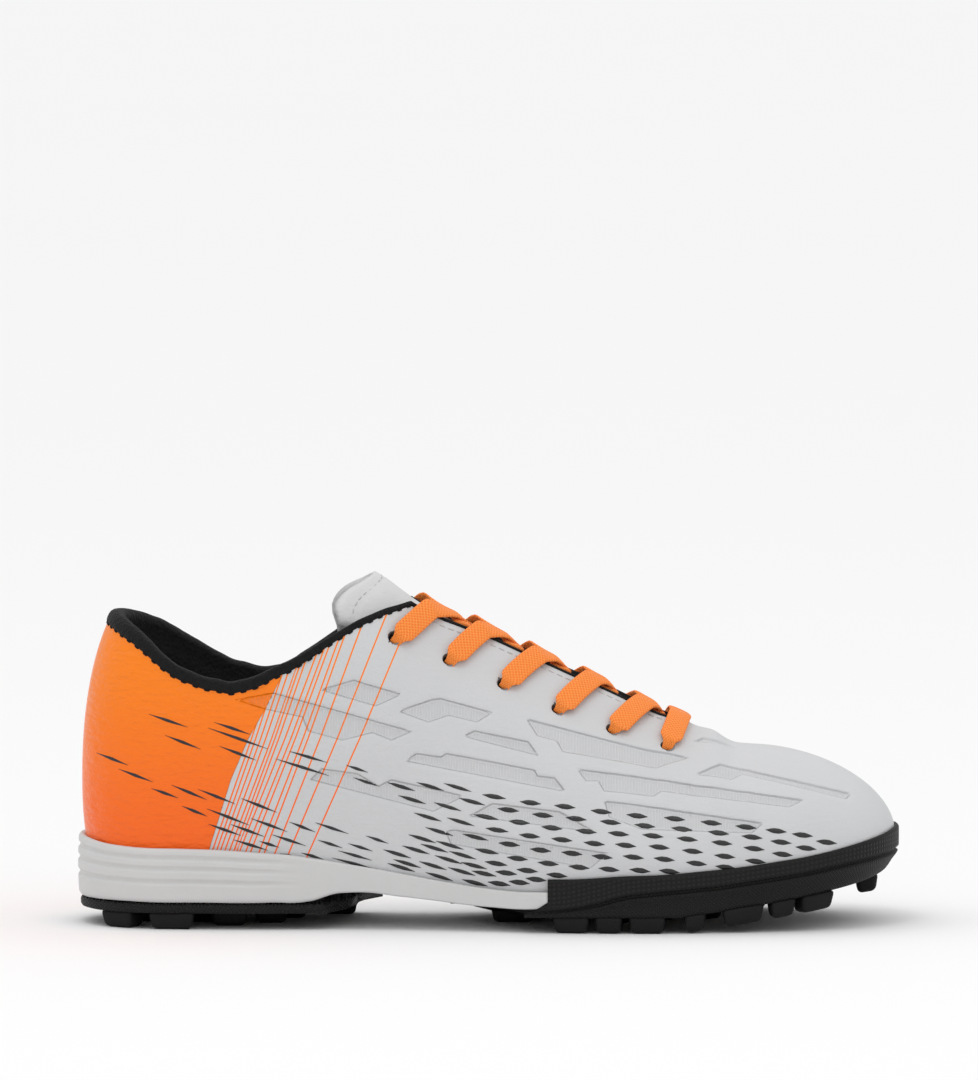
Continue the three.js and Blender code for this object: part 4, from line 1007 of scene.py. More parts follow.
def roll_rows(station, edge):
    """Points round the roll's section: outside, over the edge, down inside, and back along the leather."""
    at = station["at"]
    cover = run(rolls, "cover", at)[:, None]
    rise = run(rolls, "rise", at)[:, None]
    thick = run(rolls, "thick", at)[:, None]
    drop = run(rolls, "drop", at)[:, None]
    wide = widened(station)
    out_share = np.linspace(1, 0, OUTSIDE_STEPS)[None]
    out_levels = levels_along(station, edge, cover * out_share)
    swell = 0.35 + 0.55 * np.sqrt(np.clip(1 - out_share ** 2, 0, 1)) * np.minimum(cover / 3, 1)
    swell = np.where(out_share > .99, 0.02, swell)
    outside = skin(wide, out_levels, -swell)
    turns = np.linspace(0, math.pi, TOP_STEPS)[None, 1:-1]
    start = -swell[:, -1:]
    end = WALL + GAP * .3 + thick * .55
    middle = (start + end) / 2
    top_depth = middle - (end - start) / 2 * np.cos(turns)
    edge_wide = edge[:, None] + 0 * turns
    top = skin(wide, edge_wide, top_depth)
    above = skin(wide, edge[:, None] + .004) - skin(wide, edge[:, None])
    above = unit(above)
    top = top + above * (rise * np.sin(turns))[..., None]
    in_share = np.linspace(0, 1, INSIDE_STEPS)[None]
    in_levels = levels_along(station, edge, drop * in_share)
    fat = thick * (.22 + .78 * np.sin(math.pi * np.clip(1 - in_share, 0, 1) ** 1.35))
    fat = np.where(in_share < .01, thick * .55, fat)
    inside = skin(wide, in_levels, WALL + GAP * .3 + fat * (1 - in_share ** 6) + .05)
    under = skin(wide, in_levels[:, ::-4], WALL + .04)
    back = skin(wide, out_levels[:, ::-2], -0.01)
    return np.concatenate([outside, top, inside, under, back], 1)


roll = roll_rows(collar_stations, collar_edge)
rows, columns = roll.shape[:2]
knit = Finish("collar_knit", (0.018, 0.018, 0.019), 0.9, specular=0.15, sheen=0.06)
knit.patched(1.4, (0.005, 0.005, 0.0053), (0.016, 0.016, 0.0165))
knit.bump(knit.cells(1.05, knit.stretched((1, 1, .8))), 0.35)
roll_faces = grid_faces(rows, columns, False, True)
collar_roll = make_piece("collar_roll", roll, roll_faces, knit.made)
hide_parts("collar_padding")

# %% [markdown]
# Stitches hold the edge and the tongue. A row of them is many small rounded dashes along a path.
# They are made as joined meshes, each a little spindle sunk half into the leather.

# %% Stitch helper
NEAR = 0.3
SPINDLE_SIDES = 6
spindle_shape = [(-.5, .15), (-.36, .85), (0, 1), (.36, .85), (.5, .15)]


def path_places(points, pitch):
    """Places and directions at even steps along a path."""
    gone = gone_along(points)
    wanted = np.arange(pitch / 2, gone[-1], pitch)
    places = np.stack([np.interp(wanted, gone, points[:, k]) for k in range(3)], -1)
    ahead = np.stack([np.interp(wanted + NEAR, gone, points[:, k]) for k in range(3)], -1)
    behind_them = np.stack([np.interp(wanted - NEAR, gone, points[:, k]) for k in range(3)], -1)
    way = ahead - behind_them
    return places, unit(way), wanted, gone


def stitch_row(points, normals, pitch=3.1, length=2.3, radius=0.32):
    """Spindles along a path whose normals are given at its points."""
    places, ways, wanted, gone = path_places(points, pitch)
    ups = np.stack([np.interp(wanted, gone, normals[:, k]) for k in range(3)], -1)
    spindles = []
    for place, way, up in zip(places, ways, ups):
        beside = unit(np.cross(way, up))
        rings = []
        for share, fat in spindle_shape:
            for turn in np.linspace(0, 2 * math.pi, SPINDLE_SIDES + 1)[:-1]:
                offset = beside * math.cos(turn) + up * math.sin(turn) * .8
                rings.append(place + way * length * share + offset * radius * fat)
        spindles.append((np.array(rings), grid_faces(len(spindle_shape), SPINDLE_SIDES, False, True)))
    return spindles


print("stitch sides", SPINDLE_SIDES)

# %% [markdown]
# A row of grey stitches holds the reinforcement beside the laces. It runs at an even distance from
# the opening's edge, so its path is found along the leather, and the stitches follow it.

# %% Edge stitches
STITCH_FROM_EDGE = 3.4
thread = Finish("grey_thread", (0.5, 0.5, 0.49), 0.7, specular=0.3)
thread.bump(thread.cells(0.3), 0.08)
edge_spindles = []
for side in (OUTER, INNER):
    ats = np.linspace(COLLAR_FRONT + .01, THROAT_END_AT - .012, 160)
    station = side_station(side, ats)
    level = levels_along(station, edge_level(station), [[STITCH_FROM_EDGE]])[:, 0]
    on_skin = skin(station, level, 0.0)
    outward = skin(station, level, -1.0) - on_skin
    edge_spindles += stitch_row(on_skin, outward)
joined_piece("edge_stitches", edge_spindles, thread.made)

# %% [markdown]
# The roll's lower border is caught down by short black stitches that show as small bumps. They
# use the same helper along the line where the roll ends on the leather.

# %% Roll stitches
covers = run(rolls, "cover", collar_stations["at"])[:, None]
border_levels = levels_along(collar_stations, collar_edge, covers)[:, 0]
at_collar = collar_stations["at"] < COLLAR_FRONT + .02
border = skin(collar_stations, border_levels, -.1)
border_ups = border - skin(collar_stations, border_levels, .9)
black_thread = Finish("black_thread", (0.01, 0.01, 0.0105), 0.85, specular=0.15)
black_thread.bump(black_thread.cells(0.3), 0.08)
roll_spindles = stitch_row(border[at_collar], border_ups[at_collar], 4.2, 2.2, .5)
joined_piece("roll_stitches", roll_spindles, black_thread.made)

# %% [markdown]
# The tongue is a thin padded tab under the laces with a row of stitches along its end. It
# bridges the lace opening flat and tucks under both edges. It is a grid with a soft crown, a
# rounded border and a faint swelling between the seams, as foam under leather has.

# %% Tongue shape
TONGUE_TOP = 0.357
TONGUE_WIDTH = 48.0
TONGUE_THICK = 4.6
TONGUE_BULGE = 2.6
TONGUE_DROP = 26.0
TONGUE_CURL = 31.0
MIDDLE_SOFT = 0.1
CORNER_ROUND = 0.2
CORNER_START = 0.86
tongues = table("at depth width thickness bulge sweep", [
    (.28, 3.4, 1, 1, 2, .5), (.321, 2.7, 1, 1, 2, .5), (.357, 2.1, 1, 1, 1.9, .5),
    (.393, 1.75, 1, 1, 1.5, .42), (.44, 1.3, 1, 1, .7, .3), (.48, 1.25, 1, 1, .6, .1),
    (.58, 1.25, .92, .9, .6, 0), (.7, 1.25, .78, .65, .5, 0), (.8, 1.25, .66, .45, 0, 0)])


def tongue_point(at, share, thick_share):
    """Place on the tongue: thick_share 0 is its upper face and 1 its lower face."""
    side = np.where(share < 0, -1.0, 1.0)
    half = half_throat(at)
    out = np.abs(share) * TONGUE_WIDTH / 2 * run(tongues, "width", at)
    station = side_station(side, at)
    top = skin(station, level_at_reach(station, half))[..., 2]
    drop = top - skin(station, level_at_reach(station, np.maximum(out, half)))[..., 2]
    across = np.clip(out / np.maximum(half, 1e-6), 0, 1)
    drop = drop + TONGUE_BULGE * run(tongues, "bulge", at) * across ** 2
    curl = 1 - (1 - np.clip(drop / TONGUE_DROP, 0, 1)) ** 2
    off_middle = np.abs(share) / (np.abs(share) + MIDDLE_SOFT)
    curl = curl * off_middle * (1 - CORNER_ROUND * soft_step(np.abs(share), CORNER_START, 1))
    back = at - run(tongues, "sweep", at) * TONGUE_CURL * curl / LENGTH
    station = side_station(side, back)
    depth = (WALL + GAP) * run(tongues, "depth", back)
    thick = TONGUE_THICK * run(tongues, "thickness", back) * (1 - .55 * np.abs(share) ** 3)
    level = level_at_reach(station, np.maximum(out, half))
    point = skin(station, level, depth + thick * thick_share)
    bridge = out < half
    y = blend(station["y"], point[..., 1], across)
    point[..., 1] = np.where(bridge, y, point[..., 1])
    crown = TONGUE_BULGE * run(tongues, "bulge", back) * (1 - across ** 2)
    point[..., 2] += np.where(bridge, crown, 0)
    return point


def seam_distance(share):
    """How far the tongue's seam lies from its end."""
    return 3.4 + 2.6 * np.abs(share)


print("tongue tip", [round(float(v), 1) for v in tongue_point(np.array(TONGUE_TOP), np.array(0.0), 0.0)])

# %% [markdown]
# The tongue's two faces are sewn together round foam. Blown up by a cloth simulation it would lose
# its crisp end. So its thickness is written down: thin at the rounded borders, dented along the
# seam, and full between them.

# %% Tongue
tongue_ats = np.linspace(TONGUE_TOP, THROAT_END_AT + .03, 90)
across_shares, along_ats = np.meshgrid(np.linspace(-1, 1, 41), tongue_ats)
from_end = (along_ats - TONGUE_TOP) * LENGTH
seam_dent = .10 * np.exp(-((from_end - seam_distance(across_shares)) / .8) ** 2)
border = .5 * np.clip(1 - from_end / 1.8, 0, 1) ** 2
side_border = .45 * np.clip((np.abs(across_shares) - .93) / .07, 0, 1) ** 2
over = tongue_point(along_ats, across_shares, seam_dent + np.maximum(border, side_border))
under = tongue_point(along_ats, across_shares, 1 - np.maximum(border, side_border))
tongue_grid = np.concatenate([over, under[:, ::-1]], 1)
rows, columns = tongue_grid.shape[:2]
tongue_faces = grid_faces(rows, columns, False, True) + end_strips(rows, columns)
tongue_leather = Finish("tongue_leather", (0.66, 0.66, 0.66), 0.48, coat=0.04)
tongue_leather.patched(14, (0.6, 0.6, 0.605), (0.68, 0.68, 0.685))
tongue_leather.bump(tongue_leather.clouds(2.6, detail=2), 0.25)
tongue_leather.bump(tongue_leather.cells(0.8), 0.05)
tongue = make_piece("padded_tongue", tongue_grid, tongue_faces, tongue_leather.made)
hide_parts("tongue")

# %% [markdown]
# The seam across the tongue's end shows as a row of stitches that sit on its surface. They come
# from the same helper as the others, along the line of the dent.

# %% Tongue stitches
seam_shares = np.linspace(-.9, .9, 60)
seam_at = TONGUE_TOP + seam_distance(seam_shares) / LENGTH
seam_path = tongue_point(seam_at, seam_shares, 0.10)
seam_ups = unit(seam_path - tongue_point(seam_at, seam_shares, 0.5))
tongue_spindles = stitch_row(seam_path, seam_ups, 2.9, 2.1, .3)
joined_piece("tongue_stitches", tongue_spindles, thread.made)

# %% [markdown]
# A lace lies on the leather at both sides and spans the opening between them. Before a band can be
# laid, its seat has to be known: a place on the skin, or on a flat bridge over the opening, and the
# way that points straight out of it. Wrapping a curve onto the mesh would catch on the edges.

# %% Seat of the laces
SEAT_STEP = 0.002


def seat(at, out):
    """Point and outward direction on the upper, or on a flat bridge over the opening."""
    at = np.asarray(at, float)
    out = np.asarray(out, float)
    side = np.where(out < 0, -1.0, 1.0)
    station = side_station(side, at)
    half = half_throat(at)
    level = level_at_reach(station, np.maximum(np.abs(out), half))
    point = skin(station, level)
    ahead = skin(side_station(side, at + SEAT_STEP), level) - point
    lower = skin(station, level - SEAT_STEP) - point
    normal = unit(np.cross(ahead, lower) * side[..., None])
    bridge = np.abs(out) < half
    point[..., 1] = np.where(bridge, station["y"] + out, point[..., 1])
    share = np.clip(np.abs(out) / np.maximum(half, 1e-6), 0, 1) ** 3
    normal[..., 1] = np.where(bridge, normal[..., 1] * share, normal[..., 1])
    return point, unit(normal)


print("seat beside the fourth eyelet", [round(float(v), 1) for v in seat(.5, -12.0)[0]])

# %% [markdown]
# The laces are flat woven bands. Each band comes out from under one edge of the opening, crosses
# the tongue and goes down through an eyelet on the other side. A curve with a bevel would twist, so
# a flat cross-section is carried along the path by hand and pinched where the eyelet grips it.

# %% Lace band
LACE_WIDTH = 7.9
LACE_THICK = 1.4
LACE_CLEAR = 0.8
LACE_DIP = 0.1
LACE_BEND = 1.27
LACE_CUP = 0.12
LACE_DIVE = 2.6
FOLD_HEIGHT = 1.7
PINCHED_SHARE = 0.46
EYELET_OVERLAP = 1.0
BAND_STEPS = 60
BAND_ACROSS = 13


def band(start, end, rise, bow=0.0, hidden=True):
    """A flat band from the edge of the opening, or an eyelet, to an eyelet, diving in at its end."""
    t = np.linspace(0, 1, BAND_STEPS)
    at = blend(start[0], end[0], t ** LACE_BEND) + bow / LENGTH * np.sin(math.pi * t)
    beyond = EYELET_OVERLAP * np.sign(end[1])
    out = blend(start[1] - (0 if hidden else beyond), end[1] + beyond, t)
    dip = np.clip(1 - t * 3, 0, None) if hidden else 0 * t
    high = LACE_CLEAR + LACE_THICK / 2
    lift = blend(high, -LACE_DIP, dip) + rise * np.sin(math.pi * t)
    dive_end = soft_step(t, .955, 1.0)
    dive_start = 0 * t if hidden else soft_step(t, .045, 0)
    lift = lift - (dive_end + dive_start) * LACE_DIVE
    pinched = soft_step(t, .9, .99)
    if not hidden:
        pinched = np.maximum(pinched, soft_step(t, .1, .01))
    pinch = blend(1, PINCHED_SHARE, pinched)
    point, normal = seat(at, out)
    centre = point + normal * lift[:, None]
    way = np.gradient(centre, axis=0)
    flat_way = unit(way - normal * np.sum(way * normal, 1)[:, None])
    beside = np.cross(flat_way, normal)
    turns = np.linspace(0, 2 * math.pi, 2 * BAND_ACROSS)[:-1]
    c = np.cos(turns)
    s = np.sin(turns)
    wide = np.sign(c) * np.abs(c) ** .55
    thick = np.sign(s) * np.abs(s) ** .7
    cup = (wide ** 2) * LACE_CUP
    fold = (1 - pinch)[:, None] * (wide ** 2)[None] * FOLD_HEIGHT
    points = (centre[:, None] + beside[:, None] * (wide[None] * pinch[:, None] * LACE_WIDTH / 2)[..., None]
              + normal[:, None] * (thick[None] * LACE_THICK / 2 - cup[None] + fold)[..., None])
    rows, columns = points.shape[:2]
    faces = grid_faces(rows, columns, False, True) + end_faces(rows, columns)
    gone = gone_along(centre)
    values = {"lace_along": gone[:, None] + 0 * wide[None],
              "lace_across": (wide * LACE_WIDTH / 2)[None] + 0 * gone[:, None]}
    return points, faces, values


print("band", LACE_WIDTH, "by", LACE_THICK, "mm")

# %% [markdown]
# Polyester laces are woven on the slant, so two sets of ridges cross each other. Two slanting waves
# along and across the band make them, from numbers that ride on its points, and follow every bend.

# %% Lace finish
WEAVE_PITCH = 1.5
lace_finish = Finish("woven_lace", (1.0, 0.26, 0.065), 0.75, specular=0.2, sheen=0.05)
lace_along = lace_finish.number("lace_along")
lace_across = lace_finish.number("lace_across")
slanted_one = lace_finish.wave(lace_finish.maths("ADD", lace_along, lace_across), WEAVE_PITCH)
slanted_two = lace_finish.wave(lace_finish.maths("SUBTRACT", lace_along, lace_across), WEAVE_PITCH)
weave = lace_finish.maths("MAXIMUM", slanted_one, slanted_two)
lace_finish.colour(lace_finish.mix(weave, (0.98, 0.15, 0.02), (1.0, 0.33, 0.065)))
lace_finish.bump(weave, 0.2)
lace_finish.bump(lace_finish.cells(0.35), 0.06)
print("finish", lace_finish.made.name)

# %% [markdown]
# The lacing starts with a straight bar at the toe end, which bows a little forward. Five pairs of
# bands cross above it, each from under one edge to the next eyelet on the other side. Only the
# stretches that show are made, and the last ones end under the top eyelets.

# %% Lace runs
LACE_TUCK = 4.6
LACE_BOW = 4.0
BAR_RISE = 1.0
OUTER_RISE = 1.0
INNER_RISE = 0.8
lace_leads = [-.2, -.06, .07, .2, .28]


def lace_piece(name, bands, node):
    """One or two bands as one piece in place of a node."""
    points = []
    faces = []
    values = {"lace_along": [], "lace_across": []}
    for band_points, band_faces, band_values in bands:
        faces += [tuple(i + len(points) for i in face) for face in band_faces]
        points += band_points.reshape(-1, 3).tolist()
        for key in values:
            values[key] += band_values[key].ravel().tolist()
    piece = make_piece(name, points, faces, lace_finish.made, values, weld=FINE_WELD)
    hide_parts(node)


bar_ends = [(place["at"], place["out"]) for place in (eyelet(OUTER, 0), eyelet(INNER, 0))]
lace_piece("lace_straight_bar", [band(bar_ends[0], bar_ends[1], BAR_RISE, LACE_BOW, False)], "lace_bar")
for n in range(EYELETS - 1):
    bands = []
    for side in (OUTER, INNER):
        start_at = eyelet(-side, n)["at"] + lace_leads[n] * PITCH / LENGTH
        start = (start_at, -side * (float(half_throat(start_at)) - LACE_TUCK))
        end = eyelet(side, n + 1)
        bands.append(band(start, (end["at"], end["out"]), OUTER_RISE if side < 0 else INNER_RISE))
    lace_piece("lace_over_tongue_" + str(n + 1), bands, "lace_crossing_" + str(n + 1))

# %% [markdown]
# Each eyelet is a plain punched hole, with no metal ring. Its cut edge shows as a narrow dark rim.
# A bevel on the hole would have to follow a rough grid, so a small ring of its own turns down into
# the leather and gives the hole a clean round edge.

# %% Eyelet rims
RIM_SIDES = 24
rim_profile = [(2.75, -.05), (2.55, .16), (2.3, .12), (2.15, -.1), (2.1, -1.9)]
rims = []
for place in eyelet_places:
    up = unit(place["normal"])
    side_way = unit(np.cross(up, [0, 0, 1.0]))
    other_way = np.cross(up, side_way)
    points = []
    for turn in np.linspace(0, 2 * math.pi, RIM_SIDES + 1)[:-1]:
        out_way = side_way * math.cos(turn) + other_way * math.sin(turn)
        for radius, lift in rim_profile:
            points.append(place["point"] + out_way * radius + up * lift)
    rims.append((np.array(points), grid_faces(RIM_SIDES, len(rim_profile), True)))
dark_edge = Finish("cut_leather_edge", (0.2, 0.2, 0.2), 0.6)
dark_edge.bump(dark_edge.cells(0.5), 0.08)
joined_piece("eyelet_rims", rims, dark_edge.made)

# %% [markdown]
# The midsole is moulded foam: a pale wall that stands a little proud of the upper, with three
# grooves round the heel. Its height runs from an under edge to a rim, which both change along the
# shoe, and the forefoot cup covers its front. So its sizes are a table, as the last's are.

# %% Midsole sizes
rims_of_sole = table("at rimOuter rimInner underOuter underInner", [
    (0, .5, .5, .55, .55), (.05, .4, .4, .54, .54), (.125, .385, .4, .535, .535), (.243, .37, .4, .46, .46),
    (.285, .33, .4, .4, .42), (.321, .29, .42, .225, .38), (.393, .2, .4, .2, .28), (.464, .14, .3, .2, .2),
    (.56, .12, .2, .18, .18), (1, .12, .2, .18, .18)])
SIDE_GROOVES = [.38, .62, .82]
GROOVE_DEPTH = 0.65
GROOVE_WIDTH = 0.045
CUP_ROOM = 4.4
BACK_OUTER = .571
BACK_INNER = .553
sole_ring = stations_round(200, 90, 80)
sole_at = sole_ring["at"]
sole_side = sole_ring["side"]
rim_outer = run(rims_of_sole, "rimOuter", sole_at)
rim_share = of_side(sole_side, rim_outer, run(rims_of_sole, "rimInner", sole_at))
under_outer = run(rims_of_sole, "underOuter", sole_at)
under_share = of_side(sole_side, under_outer, run(rims_of_sole, "underInner", sole_at))
rim_z = bed(sole_at) + rim_share * HEEL_BED
under_z = bed(sole_at) - under_share * HEEL_BED


def at_reach(station, reach, z):
    """Places at a distance from the middle line or the fan's axis, at given heights."""
    reach = np.maximum(reach, 0)
    x = station["x"] + station["dx"] * reach
    y = station["y"] + station["dy"] * reach
    return np.stack([x, y, z + 0 * reach], -1)


print("midsole from", round(float(under_z.min()), 1), "to", round(float(rim_z.max()), 1), "mm high")

# %% [markdown]
# The wall's section is carried all round, with many points in height so that the grooves and the
# rounded rims come out smooth in the mesh and catch the light. The bed above and the underside
# below close it towards the middle line, with a shallow shank panel under the arch.

# %% Midsole
wall_shares = np.linspace(0, 1, 56)[None]
grooved = soft_step(sole_at, .285, .2)[:, None]
groove = sum(np.exp(-((wall_shares - where) / GROOVE_WIDTH) ** 4) for where in SIDE_GROOVES)
round_off = .9 * np.clip(1 - wall_shares / .08, 0, 1) ** 2
round_off = round_off + .8 * np.clip((wall_shares - .93) / .07, 0, 1) ** 2
swell = .35 * np.sin(math.pi * wall_shares)
inset = GROOVE_DEPTH * grooved * groove + round_off - swell * grooved + .15
cup_back = of_side(sole_side, BACK_OUTER, BACK_INNER)
within_cup = soft_step(sole_at, cup_back + .002, cup_back + .008)[:, None]
inset = inset + CUP_ROOM * within_cup
wide_sole = widened(sole_ring)
wall_z = blend(under_z[:, None], rim_z[:, None], wall_shares)
wall_rows = at_reach(wide_sole, wide_sole["reach"] - inset, wall_z)
bed_shares = np.array([1, .97, .6, .3, 0])[None]
top_reach = (wide_sole["reach"] - RIM_STEP - 1.6 - CUP_ROOM * within_cup) * bed_shares
top_z = np.where(bed_shares > .98, rim_z[:, None] - .8, bed(sole_at)[:, None])
top_rows = at_reach(wide_sole, top_reach, top_z)
under_shares = np.array([0, .2, .45, .7, .9])[None]
shank = table("at deep", [(0, 0), (.3, 0), (.33, .8), (.47, .8), (.56, 0), (1, 0)])
shank_depth = run(shank, "deep", sole_at)[:, None] * soft_step(under_shares, .85, .6)
under_reach = (wide_sole["reach"] - 1 - CUP_ROOM * within_cup) * under_shares
under_rows = at_reach(wide_sole, under_reach, under_z[:, None] + shank_depth)
midsole_grid = np.concatenate([wall_rows, top_rows, under_rows], 1)
rows, columns = midsole_grid.shape[:2]
foam = Finish("moulded_foam", (0.61, 0.61, 0.607), 0.5)
foam.patched(18, (0.59, 0.59, 0.587), (0.64, 0.64, 0.637))
foam.bump(foam.clouds(0.6, detail=2), 0.05)
foam.bump(foam.clouds(5), 0.1)
midsole_faces = grid_faces(rows, columns, True, True)
midsole = make_piece("moulded_midsole", midsole_grid, midsole_faces, foam.made)
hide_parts("midsole")

# %% [markdown]
# Under the forefoot a black rubber cup wraps up the side over the midsole, and a groove parts its
# wall into two bands. It could be an offset of the midsole, but its rim and groove rise and fall on
# their own. So its wall follows the outline with tables for both, and an undercut at the toe.

# %% Wall of the forefoot cup
LUG = 5.5
springs = table("at spring", [
    (0, 0), (.714, 0), (.757, .1), (.814, .3), (.857, .47), (.9, .64), (.957, .86), (1, 1.04)])
cups = table("at rim groove", [
    (.5, .32, .1), (.571, .34, .12), (.63, .37, .32), (.68, .395, .52), (.78, .42, .57), (.88, .43, .58),
    (.95, .45, .57), (1, .5, .5)])
FOREFOOT_PLATE = 2.6
CUP_WALL = 3.2
PLATE_INSET = 0.9
TOE_UNDERCUT = 4.5
GROOVE_CUT = 1.3
GROOVE_HALF = 0.75
BACK_FOOT = 8.0
BACK_FOOT_RUN = 0.09
WALL_STEPS = 40


def plate_under(at):
    """Height of the plate's lower face, which lifts towards the toe."""
    return LUG + run(springs, "spring", at) * SPRING


def forefoot_stations():
    """From the cup's back on the outer side round the toe to its back on the inner side."""
    outer = side_station(OUTER, np.linspace(BACK_OUTER, TOE_AXIS, 110)[:-1])
    toe = fan_station(TOE_AXIS, 1, TOE_ROUND, np.linspace(-QUARTER, QUARTER, 100)[:-1])
    inner = side_station(INNER, np.linspace(TOE_AXIS, BACK_INNER, 110))
    return joined(outer, toe, inner)


cup = forefoot_stations()
cup_at = cup["at"]
low_z = plate_under(cup_at)[:, None]
high_z = (bed(cup_at) + run(cups, "rim", cup_at) * HEEL_BED)[:, None]
groove_z = blend(low_z, high_z, run(cups, "groove", cup_at)[:, None])
undercut = (TOE_UNDERCUT * run(beds, "spring", cup_at))[:, None]
wall_share = np.linspace(0, 1, WALL_STEPS)[None]
wall_z = blend(low_z, high_z, wall_share)
lower_part = np.clip((wall_z - low_z) / (groove_z - low_z), 0, 1)
cup_inset = PLATE_INSET * soft_step(lower_part, 1, .5) + undercut * (1 - lower_part) ** 1.5
cup_inset = cup_inset + GROOVE_CUT * np.exp(-((wall_z - groove_z) / GROOVE_HALF) ** 4)
cup_inset = cup_inset + .8 * np.clip((wall_share - .93) / .07, 0, 1) ** 2
cup_inset = cup_inset + np.clip(1 - wall_share / .1, 0, 1) ** 2
wide_cup = widened(cup)
cup_wall = at_reach(wide_cup, wide_cup["reach"] - cup_inset + .12, wall_z)
lip_z = np.concatenate([high_z - .5, high_z - 2.2, low_z + FOREFOOT_PLATE], 1)
lip_inset = np.array([[1.6, 1.9, CUP_WALL]])
cup_lip = at_reach(wide_cup, wide_cup["reach"] - lip_inset, lip_z)
behind_side = np.clip(1 - (cup_at - BACK_OUTER) / BACK_FOOT_RUN, 0, 1)
behind_side = behind_side * np.clip((TOE_AXIS - cup_at) * 50, 0, 1)
cup_wall[..., 0] -= BACK_FOOT * behind_side[:, None] ** 2 * soft_step(wall_share, .34, .08)
print("cup wall up to", round(float(high_z.max()), 1), "mm high")

# %% [markdown]
# The plate closes the cup below, and its back edge bows as the mould does. Rows of points step in
# from the wall to the middle, on both faces, and the bow is a shift that grows towards the middle.

# %% Plate of the forefoot cup
BACK_MIDDLE = .478


def back_bend(station, rows, share):
    """Moves places near the middle back, so that the plate's back edge bows."""
    shift = np.where(station["at"] < TOE_AXIS, (TOE_AXIS - station["at"]) / (TOE_AXIS - BACK_OUTER), 0)
    moved = rows.copy()
    moved[..., 0] -= (shift[:, None] * share * (BACK_OUTER - BACK_MIDDLE) * LENGTH)
    return moved


in_shares = np.array([.85, .5, .2, 0])[None]
floor_reach = (wide_cup["reach"] - CUP_WALL - 2) * in_shares
plate_top = back_bend(cup, at_reach(wide_cup, floor_reach, low_z + FOREFOOT_PLATE), 1 - in_shares ** 2)
plate_low = back_bend(cup, at_reach(wide_cup, floor_reach[:, ::-1], low_z), 1 - in_shares[:, ::-1] ** 2)
cup_grid = np.concatenate([cup_wall, cup_lip, plate_top, plate_low], 1)
rows, columns = cup_grid.shape[:2]
round_way = gone_along(cup_wall[:, WALL_STEPS // 2])[:, None] + np.zeros((1, columns))
above_groove = cup_grid[..., 2] - groove_z
from_top = high_z - cup_grid[..., 2]
print("cup points", cup_grid.shape[0] * columns)

# %% [markdown]
# The rubber is nearly black and dull. On the cup's wall the mould has cut a fine relief:
# crossing slants below the groove and small squares above it. Waves along the wall and up it make both as
# bump, because real relief this fine would need millions of faces, and the ridges are painted a little
# paler as a painted highlight.

# %% Rubber finishes
SLANT_PITCH = 1.25
rubber = Finish("black_rubber", (0.01, 0.01, 0.0098), 0.6, specular=0.2)
rubber.patched(12, (0.005, 0.005, 0.0048), (0.01, 0.01, 0.0097))
rubber.bump(rubber.clouds(0.5, detail=2), 0.05)
embossed = Finish("embossed_rubber", (0.01, 0.01, 0.0098), 0.58, specular=0.22)
way = embossed.number("round_way")
above = embossed.number("above_groove")
slant_one = embossed.wave(embossed.maths("ADD", way, above), SLANT_PITCH)
slant_two = embossed.wave(embossed.maths("SUBTRACT", way, above), SLANT_PITCH)
squares = embossed.maths("MULTIPLY", embossed.wave(way, 1.7), embossed.wave(above, 1.5))
is_upper_band = embossed.between(above, .2, .6)
emboss = embossed.maths("MULTIPLY", slant_one, slant_two)
chosen = embossed.node("ShaderNodeMix", data_type="FLOAT")
embossed.put(chosen.inputs["Factor"], is_upper_band)
embossed.put(chosen.inputs["A"], emboss)
embossed.put(chosen.inputs["B"], squares)
from_edge = embossed.between(embossed.number("from_top"), .7, 1.2)
relief = embossed.maths("MULTIPLY", chosen.outputs["Result"], from_edge)
embossed.bump(relief, 0.3)
# Painted highlight: the ridges of the relief are coloured paler, where they would catch the light.
embossed.colour(embossed.mix(relief, (0.006, 0.006, 0.0058), (0.017, 0.017, 0.0165)))
print("finishes", rubber.made.name, embossed.made.name)

# %% [markdown]
# Wall, lip and plate are one moulding, so they are one closed mesh. The numbers for the relief ride
# on its points, and the node that it stands for is hidden by it.

# %% Forefoot cup
cup_values = {"round_way": round_way, "above_groove": above_groove, "from_top": from_top}
cup_faces = grid_faces(rows, columns, False, True) + end_faces(rows, columns)
forefoot_cup = make_piece("forefoot_cup", cup_grid, cup_faces, embossed.made, cup_values)
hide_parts("outsole_forefoot")

# %% [markdown]
# The lugs grip the turf. The ones along the edges follow the outline, each from one share of the
# length to another, and the smaller ones stand between them, placed by share of the length, share
# of the way out, length and width. An array would space them evenly, which such a sole never does.

# %% Places of the lugs
edge_lugs = {
    OUTER: [(.024, .064), (.085, .144), (.576, .622), (.627, .662), (.668, .714), (.735, .763),
            (.781, .834), (.841, .876), (.882, .928)],
    INNER: [(.024, .064), (.085, .144), (.16, .215), (.23, .28), (.295, .34), (.572, .615),
            (.624, .664), (.673, .722), (.735, .77), (.782, .834), (.843, .88), (.888, .93)],
}
inner_lugs = [
    (.09, 0, 1.4, 1), (.15, -.1, .9, 1), (.185, -.48, 1.1, .9), (.235, -.2, 1, .9), (.26, .3, .9, .9),
    (.53, -.24, 1.3, .9), (.53, .3, 1.1, .9), (.6, .02, 1, .9), (.655, -.3, 1, .8), (.655, .28, 1, .8),
    (.71, .02, 1, .9), (.765, -.28, 1, .8), (.765, .26, 1, .8), (.82, .02, 1, .9), (.87, -.26, .8, .7),
    (.87, .24, .8, .7), (.961, 0, .65, 1)]
print("edge lugs", sum(len(spans) for spans in edge_lugs.values()), "inner lugs", len(inner_lugs))

# %% [markdown]
# A lug is a short block that tapers, so that it leaves the mould. Its four corners are found on
# the outline, and it goes down to the floor, or ends in the air where the toe lifts.

